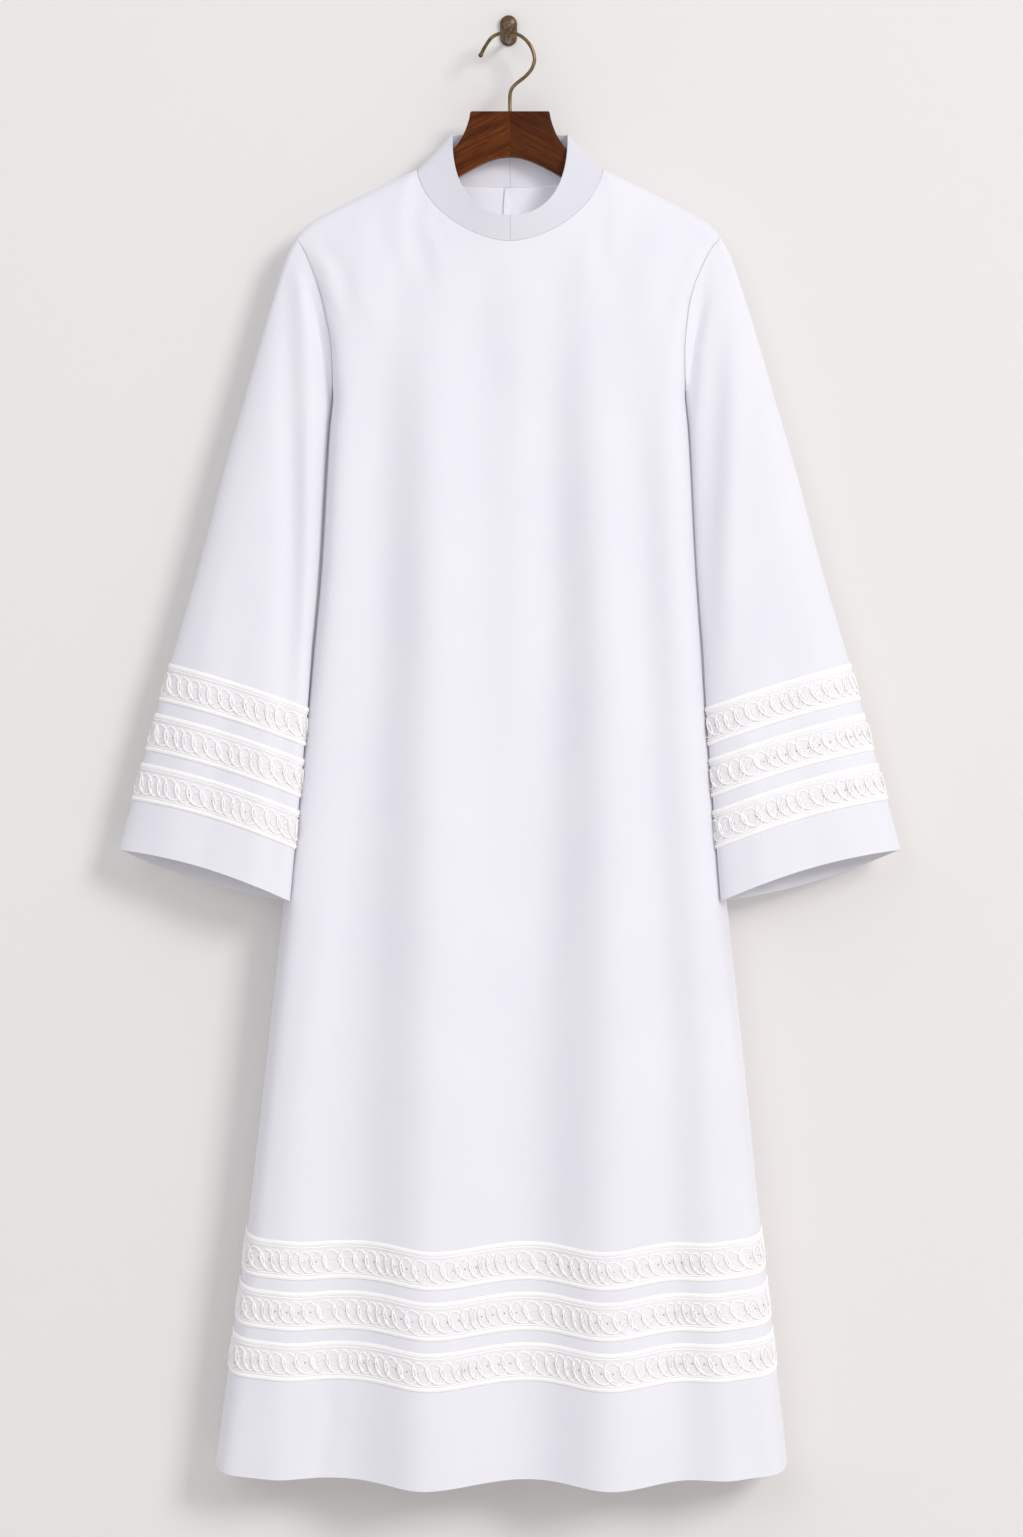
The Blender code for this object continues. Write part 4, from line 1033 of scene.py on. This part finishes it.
def new_tree(name, sizes):
    """An empty Geometry Nodes tree with a mesh output and named size inputs."""
    tree = bpy.data.node_groups.new(name, "GeometryNodeTree")
    tree.interface.new_socket("Geometry", in_out="OUTPUT", socket_type="NodeSocketGeometry")
    for size, value in sizes.items():
        kind = "NodeSocketInt" if isinstance(value, int) else "NodeSocketFloat"
        if isinstance(value, bpy.types.Material):
            kind = "NodeSocketMaterial"
        tree.interface.new_socket(size, in_out="INPUT", socket_type=kind)
    return tree, tree.nodes.new("NodeGroupInput").outputs


def grown_mesh(name, tree, sizes):
    """The plain mesh that a tree makes from its sizes."""
    holder = bpy.data.objects.new(name, bpy.data.meshes.new(name))
    bpy.context.scene.collection.objects.link(holder)
    modifier = holder.modifiers.new(name, "NODES")
    modifier.node_group = tree
    for item in tree.interface.items_tree:
        if item.in_out == "INPUT":
            modifier[item.identifier] = sizes[item.name]
    evaluated = holder.evaluated_get(bpy.context.evaluated_depsgraph_get())
    mesh = bpy.data.meshes.new_from_object(evaluated)
    bpy.data.objects.remove(holder)
    return mesh


# White cotton cord: matt and slightly warmer than the cloth, with its twist as a fine bump
white_lace, tree, shader = start_material("white_cotton_cord_lace")
fuzz = noise(tree, object_place(tree), 900.0, 2.0)
color = add_ramp(tree, fuzz, [(0.3, "#f6f3f2"), (0.7, "#fcfaf9")])
set_looks(tree, shader, color.outputs[0], {"Roughness": 0.85}, bump_of(tree, fuzz, 0.3, 0.0004))

# Cotton net: round meshes 1.6 mm apart, which show as fine pits over the cloth under it, painted
# darker in their middles as shade, and a row of small eyelets along its middle, their holes painted dark as
# shade
NET_PITCH = 1.6 * MM
EYELET_PITCH = 6.5 * MM
EYELET_LEVEL = -22.7 * MM
EYELET_SHADE_RADII = (0.7 * MM, 1.3 * MM)
white_net, tree, shader = start_material("white_cotton_net")
cut = add_node(tree, "ShaderNodeUVMap", {}, uv_map="cut")
meshes = add_node(
    tree, "ShaderNodeTexVoronoi", {"Vector": cut.outputs[0], "Scale": 1 / NET_PITCH, "Randomness": 0.35}
)
# Painted shade: each mesh of the net is darker towards its middle
ground = add_ramp(tree, meshes.outputs["Distance"], [(0.1, "#dedcdf"), (0.5, "#eeecee")])
at = add_node(tree, "ShaderNodeSeparateXYZ", {0: cut})
along = add_node(tree, "ShaderNodeMath", {0: at.outputs["X"], 1: EYELET_PITCH}, operation="PINGPONG")
off = add_node(tree, "ShaderNodeMath", {0: at.outputs["Y"], 1: EYELET_LEVEL}, operation="SUBTRACT")
spot = add_node(tree, "ShaderNodeCombineXYZ", {"X": along, "Y": off})
away = add_node(tree, "ShaderNodeVectorMath", {0: spot}, operation="LENGTH")
eyelet_hole_shade = add_node(
    tree,
    "ShaderNodeMapRange",
    {
        "Value": away.outputs["Value"],
        "From Min": EYELET_SHADE_RADII[0],
        "From Max": EYELET_SHADE_RADII[1],
        "To Min": 1.0,
        "To Max": 0.0,
    },
)
# Painted shade: the eyelets' holes are dark grey spots in the net's colour
color = add_node(
    tree, "ShaderNodeMix", {0: eyelet_hole_shade, 6: ground, 7: linear_color("#a8a3a8")}, data_type="RGBA"
)
bump = bump_of(tree, meshes.outputs["Distance"], 0.25, 0.0005)
set_looks(tree, shader, color.outputs[2], {"Roughness": 0.88}, bump)

LACE_SIZES = {
    "Length": 1.0,
    "Rings": 10,
    "Columns": 10,
    "Ribs": 10,
    "Ring Width": RING_WIDTH,
    "Ring Height": RING_HEIGHT,
    "Ring Middle": RING_MIDDLE,
    "Cord Radius": CORD_RADIUS,
    "Band Height": BAND_HEIGHT,
    "Cord Material": white_lace,
}
lace_tree, size = new_tree("cord_lace", LACE_SIZES)


def reckon(tree, operation, *values):
    """The result of one sum on numbers or other nodes' outputs."""
    return add_node(tree, "ShaderNodeMath", dict(enumerate(values)), operation=operation).outputs[0]


def vector_of(tree, **axes):
    return add_node(tree, "ShaderNodeCombineXYZ", axes)


def moved_shape(tree, shape, **settings):
    return add_node(tree, "GeometryNodeTransform", {"Geometry": shape, **settings})


def even_row(tree, count, length, across, rise):
    """A row of points along the strip, one in the middle of each share of its length."""
    share = reckon(tree, "DIVIDE", length, count)
    first = reckon(tree, "MULTIPLY", share, 0.5)
    start = vector_of(tree, X=first, Y=across, Z=rise)
    step = vector_of(tree, X=share)
    return add_node(
        tree,
        "GeometryNodeMeshLine",
        {"Count": count, "Start Location": start, "Offset": step},
        mode="OFFSET",
    )


def corded(tree, route, radius, sides):
    """A cord of a radius along a curve."""
    profile = add_node(tree, "GeometryNodeCurvePrimitiveCircle", {"Resolution": sides, "Radius": radius})
    return add_node(tree, "GeometryNodeCurveToMesh", {"Curve": route, "Profile Curve": profile})


def cord_oval(tree, width, height, turn, radius, steps):
    """An upright oval of cord, turned a little and tilted so that one side passes over the next."""
    loop = add_node(tree, "GeometryNodeCurvePrimitiveCircle", {"Resolution": steps, "Radius": 0.5})
    shape = vector_of(tree, X=width, Y=height, Z=1.0)
    oval = moved_shape(tree, loop, Rotation=(0.0, 0.06, turn), Scale=shape)
    return corded(tree, oval, radius, 5)


def add_lace_nodes(tree, size):
    """A flat strip of lace in millimetres: x along it, y up it and z off the cloth."""
    centres = even_row(tree, size["Rings"], size["Length"], size["Ring Middle"], 1.0)
    ring = cord_oval(tree, size["Ring Width"], size["Ring Height"], RING_LEAN, size["Cord Radius"], 20)
    curl = cord_oval(tree, CURL_WIDTH, CURL_HEIGHT, -0.7, CURL_RADIUS, 10)
    parts = []
    for shape, seed, sway in ((ring, 3, 0.16), (curl, 8, 0.7)):
        lean = add_node(
            tree,
            "FunctionNodeRandomValue",
            {"Min": (0.0, 0.0, -sway), "Max": (0.0, 0.0, sway), "Seed": seed},
            data_type="FLOAT_VECTOR",
        )
        parts.append(
            add_node(
                tree,
                "GeometryNodeInstanceOnPoints",
                {"Points": centres, "Instance": shape, "Rotation": lean},
            )
        )
    # A finer cord winds through the rings, over one and under the next
    line = vector_of(tree, X=size["Length"])
    run = add_node(tree, "GeometryNodeCurvePrimitiveLine", {"End": line})
    fine = add_node(tree, "GeometryNodeResampleCurve", {"Curve": run, "Count": size["Columns"]})
    place = add_node(tree, "ShaderNodeSeparateXYZ", {0: add_node(tree, "GeometryNodeInputPosition", {})})
    rings_passed = reckon(tree, "DIVIDE", reckon(tree, "MULTIPLY", place, size["Rings"]), size["Length"])
    turned = reckon(tree, "MULTIPLY", rings_passed, math.pi)
    widest = reckon(tree, "MULTIPLY", size["Ring Height"], 0.36)
    swing = reckon(tree, "MULTIPLY", reckon(tree, "SINE", turned), widest)
    weave = reckon(tree, "MULTIPLY", reckon(tree, "COSINE", turned), 0.5)
    across = reckon(tree, "ADD", swing, size["Ring Middle"])
    moved = vector_of(tree, Y=across, Z=reckon(tree, "ADD", weave, 0.9))
    wound = add_node(tree, "GeometryNodeSetPosition", {"Geometry": fine, "Offset": moved})
    parts.append(corded(tree, wound, WINDING_RADIUS, 5))
    # Each braid is a wide flat cord with fine ribs at the edge, and a round cord inside it
    for edge, wide, inner in BRAIDS:
        for across, thick, flat, height, sides in ((edge, wide, 0.42, 0.6, 8), (inner, 1.0, 0.9, 0.7, 6)):
            level = vector_of(tree, Y=across, Z=height)
            cord = corded(tree, fine, thick, sides)
            parts.append(moved_shape(tree, cord, Translation=level, Scale=(1.0, 1.0, flat)))
        half_turn = {"Resolution": 5, "Radius": wide, "Sweep Angle": math.pi}
        arch = add_node(tree, "GeometryNodeCurveArc", half_turn)
        upright = moved_shape(tree, arch, Rotation=(math.pi / 2, 0.0, math.pi / 2 - 0.25))
        low = moved_shape(tree, upright, Translation=(0.0, 0.0, 0.6), Scale=(1.0, 1.0, 0.42))
        ribs = even_row(tree, size["Ribs"], size["Length"], edge, 0.0)
        rib = corded(tree, low, RIB_RADIUS, 3)
        parts.append(add_node(tree, "GeometryNodeInstanceOnPoints", {"Points": ribs, "Instance": rib}))
    joined = add_node(tree, "GeometryNodeJoinGeometry", {})
    for part in parts:
        tree.links.new(part.outputs[0], joined.inputs[0])
    real = add_node(tree, "GeometryNodeRealizeInstances", {"Geometry": joined})
    done = add_node(tree, "GeometryNodeSetMaterial", {"Geometry": real, "Material": size["Cord Material"]})
    add_node(tree, "NodeGroupOutput", {0: done})


add_lace_nodes(lace_tree, size)


def off_cloth(surface, turn, level, rise):
    """Points at a distance in millimetres off a cloth surface."""
    step = 0.0008
    base = surface(turn, level)
    along = surface(turn + step, level) - surface(turn - step, level)
    down = surface(turn, np.minimum(1.0, level + step)) - surface(turn, level - step)
    normal = np.cross(down, along)
    normal /= np.maximum(1e-9, np.linalg.norm(normal, axis=-1, keepdims=True))
    return base + normal * rise


def bunched(along, length, crowding):
    """Places along a ring of cloth, drawn together by turns where the lace was eased on."""
    for count, start, share in crowding:
        step = length / count
        wave = 2 * np.pi / step
        along = along - share / wave * (np.sin(wave * (along - start)) + np.sin(wave * start))
    return along


def lay_on(mesh, surface, lengths, turns, foot, cloth_length, crowding):
    """Moves a flat strip in millimetres onto a cloth surface, keeping its relief off the cloth."""
    flat = np.empty(len(mesh.vertices) * 3)
    mesh.vertices.foreach_get("co", flat)
    flat = flat.reshape(-1, 3)
    turn = np.interp(bunched(flat[:, 0], lengths[-1], crowding) % lengths[-1], lengths, turns)
    level = 1 - (foot + flat[:, 1]) / cloth_length
    mesh.vertices.foreach_set("co", (off_cloth(surface, turn, level, flat[:, 2:]) * MM).ravel())
    mesh.update()


def body_round(turn, level):
    """The body right round: turn is 0 at the left side seam, 0.5 at the right, 1 back again."""
    turn = np.asarray(turn) % 1.0
    swing = 4 * np.abs(turn - 0.5) - 1
    place = -(swing + 0.88 * np.sin(np.pi * swing) / np.pi)
    front = body_surface("front", place, level)
    back = body_surface("back", place, level)
    return np.where((turn < 0.5)[..., None], front, back)


def round_lengths(surface, level):
    """Turns, and the distance along a ring of cloth to each, in millimetres."""
    turns = np.linspace(0, 1, 1201)
    points = surface(turns, np.full(turns.shape, level))
    steps = np.linalg.norm(np.diff(points, axis=0), axis=1)
    return np.concatenate([[0.0], np.cumsum(steps)]), turns


def lace_band(name, node, surface, foot, cloth_length, crowding):
    """One band: its net, and the rings and braids of cord on it."""
    lengths, turns = round_lengths(surface, 1 - (foot + BAND_HEIGHT / 2) / cloth_length)
    length = float(lengths[-1])
    rings = 2 * round(length / RING_PITCH / 2)
    counts = {"Length": length, "Rings": rings, "Columns": rings * 5, "Ribs": round(length / RIB_PITCH)}
    mesh = grown_mesh(name, lace_tree, {**LACE_SIZES, **counts})
    lay_on(mesh, surface, lengths, turns, foot, cloth_length, crowding)
    cords = finish_piece(name + "_cords", mesh, white_lace, [node], 60.0)
    net_turns = np.interp(np.linspace(0, length, rings * 3 + 1)[:-1], lengths, turns)[None, :]
    net_levels = 1 - (foot + np.linspace(BAND_HEIGHT, 0, 6)[:, None]) / cloth_length
    net_points = off_cloth(surface, *np.broadcast_arrays(net_turns, net_levels), NET_RISE)
    net_mesh = cloth_mesh(name, net_points, NET_WALL, closed=True)
    net = finish_piece(name + "_net", net_mesh, white_net, [node])


# Where the lace is drawn together: how often round the ring, from where, and by what share
HEM_CROWDING = [(11, 168.0, 0.28), (27, 40.0, 0.12)]
for number in range(1, BAND_COUNT + 1):
    foot = HEM_BAND_FOOT + (number - 1) * (BAND_HEIGHT + HEM_BAND_GAP)
    crowding = [(count, start + 6 * number, share) for count, start, share in HEM_CROWDING]
    lace_band(f"hem_{number}", f"hem_lace_{number}", body_round, foot, BODY_LENGTH, crowding)


# Sleeve lace
# The same lace goes round each sleeve in three bands above the cuff.

CUFF_BAND_FOOT = 57.0
CUFF_BAND_GAP = 14.0


def left_sleeve_round(turn, level):
    return sleeve_surface(-1, turn, level)


def right_sleeve_round(turn, level):
    return sleeve_surface(1, -np.asarray(turn), level)


for side_name, sleeve_round in (("left", left_sleeve_round), ("right", right_sleeve_round)):
    for number in range(1, BAND_COUNT + 1):
        foot = CUFF_BAND_FOOT + (number - 1) * (BAND_HEIGHT + CUFF_BAND_GAP)
        node = f"sleeve_{side_name}_lace_{number}"
        crowding = [(5, 30.0 + 9 * number, 0.2), (13, 10.0 * number, 0.12)]
        band_name = f"cuff_{side_name}_{number}"
        lace_band(band_name, node, sleeve_round, foot, SLEEVE_LENGTH, crowding)


# Stage
# A plain off-white wall behind and a pale floor below, with soft studio light from the upper right.

# Matt emulsion paint, seen only from the room's side
paint, tree, shader = start_material("wall_paint")
shader.inputs["Base Color"].default_value = linear_color("#e3e0dd")
shader.inputs["Roughness"].default_value = 0.9
facing = add_node(tree, "ShaderNodeNewGeometry", {})
clear = add_node(tree, "ShaderNodeBsdfTransparent", {})
seen = add_node(
    tree, "ShaderNodeMixShader", {0: facing.outputs["Backfacing"], 1: shader.outputs[0], 2: clear}
)
tree.links.new(seen.outputs[0], tree.nodes["Material Output"].inputs["Surface"])


def stage_plane(name, corners, material):
    mesh = bpy.data.meshes.new(name)
    mesh.from_pydata(corners, [], [tuple(range(len(corners)))])
    mesh.materials.append(material)
    plane = bpy.data.objects.new(name, mesh)
    bpy.context.scene.collection.objects.link(plane)
    return plane


WALL_Y = 0.0005
wall = stage_plane(
    "stage_wall",
    [(-6.0, WALL_Y, -1.9), (6.0, WALL_Y, -1.9), (6.0, WALL_Y, 4.0), (-6.0, WALL_Y, 4.0)],
    paint,
)
wall.visible_shadow = False
floor_paint, tree, shader = start_material("floor_paint")
shader.inputs["Base Color"].default_value = linear_color("#dad8d6")
shader.inputs["Roughness"].default_value = 0.9
stage_plane(
    "stage_floor", [(-6.0, -7.0, -1.9), (6.0, -7.0, -1.9), (6.0, 5.0, -1.9), (-6.0, 5.0, -1.9)], floor_paint
)


def area_light(name, place, target, size, power, color):
    data = bpy.data.lights.new(name, "AREA")
    data.size = size
    data.energy = power
    data.color = color
    light = bpy.data.objects.new(name, data)
    light.location = place
    light.rotation_euler = (Vector(target) - Vector(place)).to_track_quat("-Z", "Y").to_euler()
    bpy.context.scene.collection.objects.link(light)


area_light("key", (5.7, -7.3, 3.1), (0.0, 0.0, -0.8), 2.9, 440.0, (1.0, 0.985, 0.97))
area_light("fill", (-2.6, -6.0, 1.8), (0.0, 0.0, -0.8), 3.0, 46.0, (0.97, 0.985, 1.0))
area_light("low", (-0.8, -4.5, -1.7), (0.0, 0.0, -1.2), 2.0, 9.0, (1.0, 1.0, 1.0))
area_light("back", (1.5, 4.2, 1.2), (0.0, 0.0, -0.8), 2.5, 90.0, (1.0, 1.0, 1.0))

# A faint lamp inside the neck stands for the light that comes through the cloth there
area_light("neck", (0.002, -0.046, -0.32), (0.0016, -0.024, -0.16), 0.03, 0.085, (1.0, 0.98, 1.0))

world = bpy.data.worlds.new("room")
bpy.context.scene.world = world
world.use_nodes = True
world.node_tree.nodes["Background"].inputs["Color"].default_value = (0.93, 0.94, 1.0, 1.0)
world.node_tree.nodes["Background"].inputs["Strength"].default_value = 0.64
bpy.context.scene.view_settings.view_transform = "Standard"

# The photograph is 1023 by 1537, seen square on from 4.5 m, with 1.691 m from top to bottom
camera_data = bpy.data.cameras.new("camera")
camera_data.sensor_width = 36.0
camera_data.lens = 36.0 * 4.5 / 1.691
camera = bpy.data.objects.new("camera", camera_data)
camera.location = (0.0033, -4.542, -0.811)
camera.rotation_euler = (math.pi / 2, 0.0, 0.0)
bpy.context.scene.collection.objects.link(camera)
bpy.context.scene.camera = camera
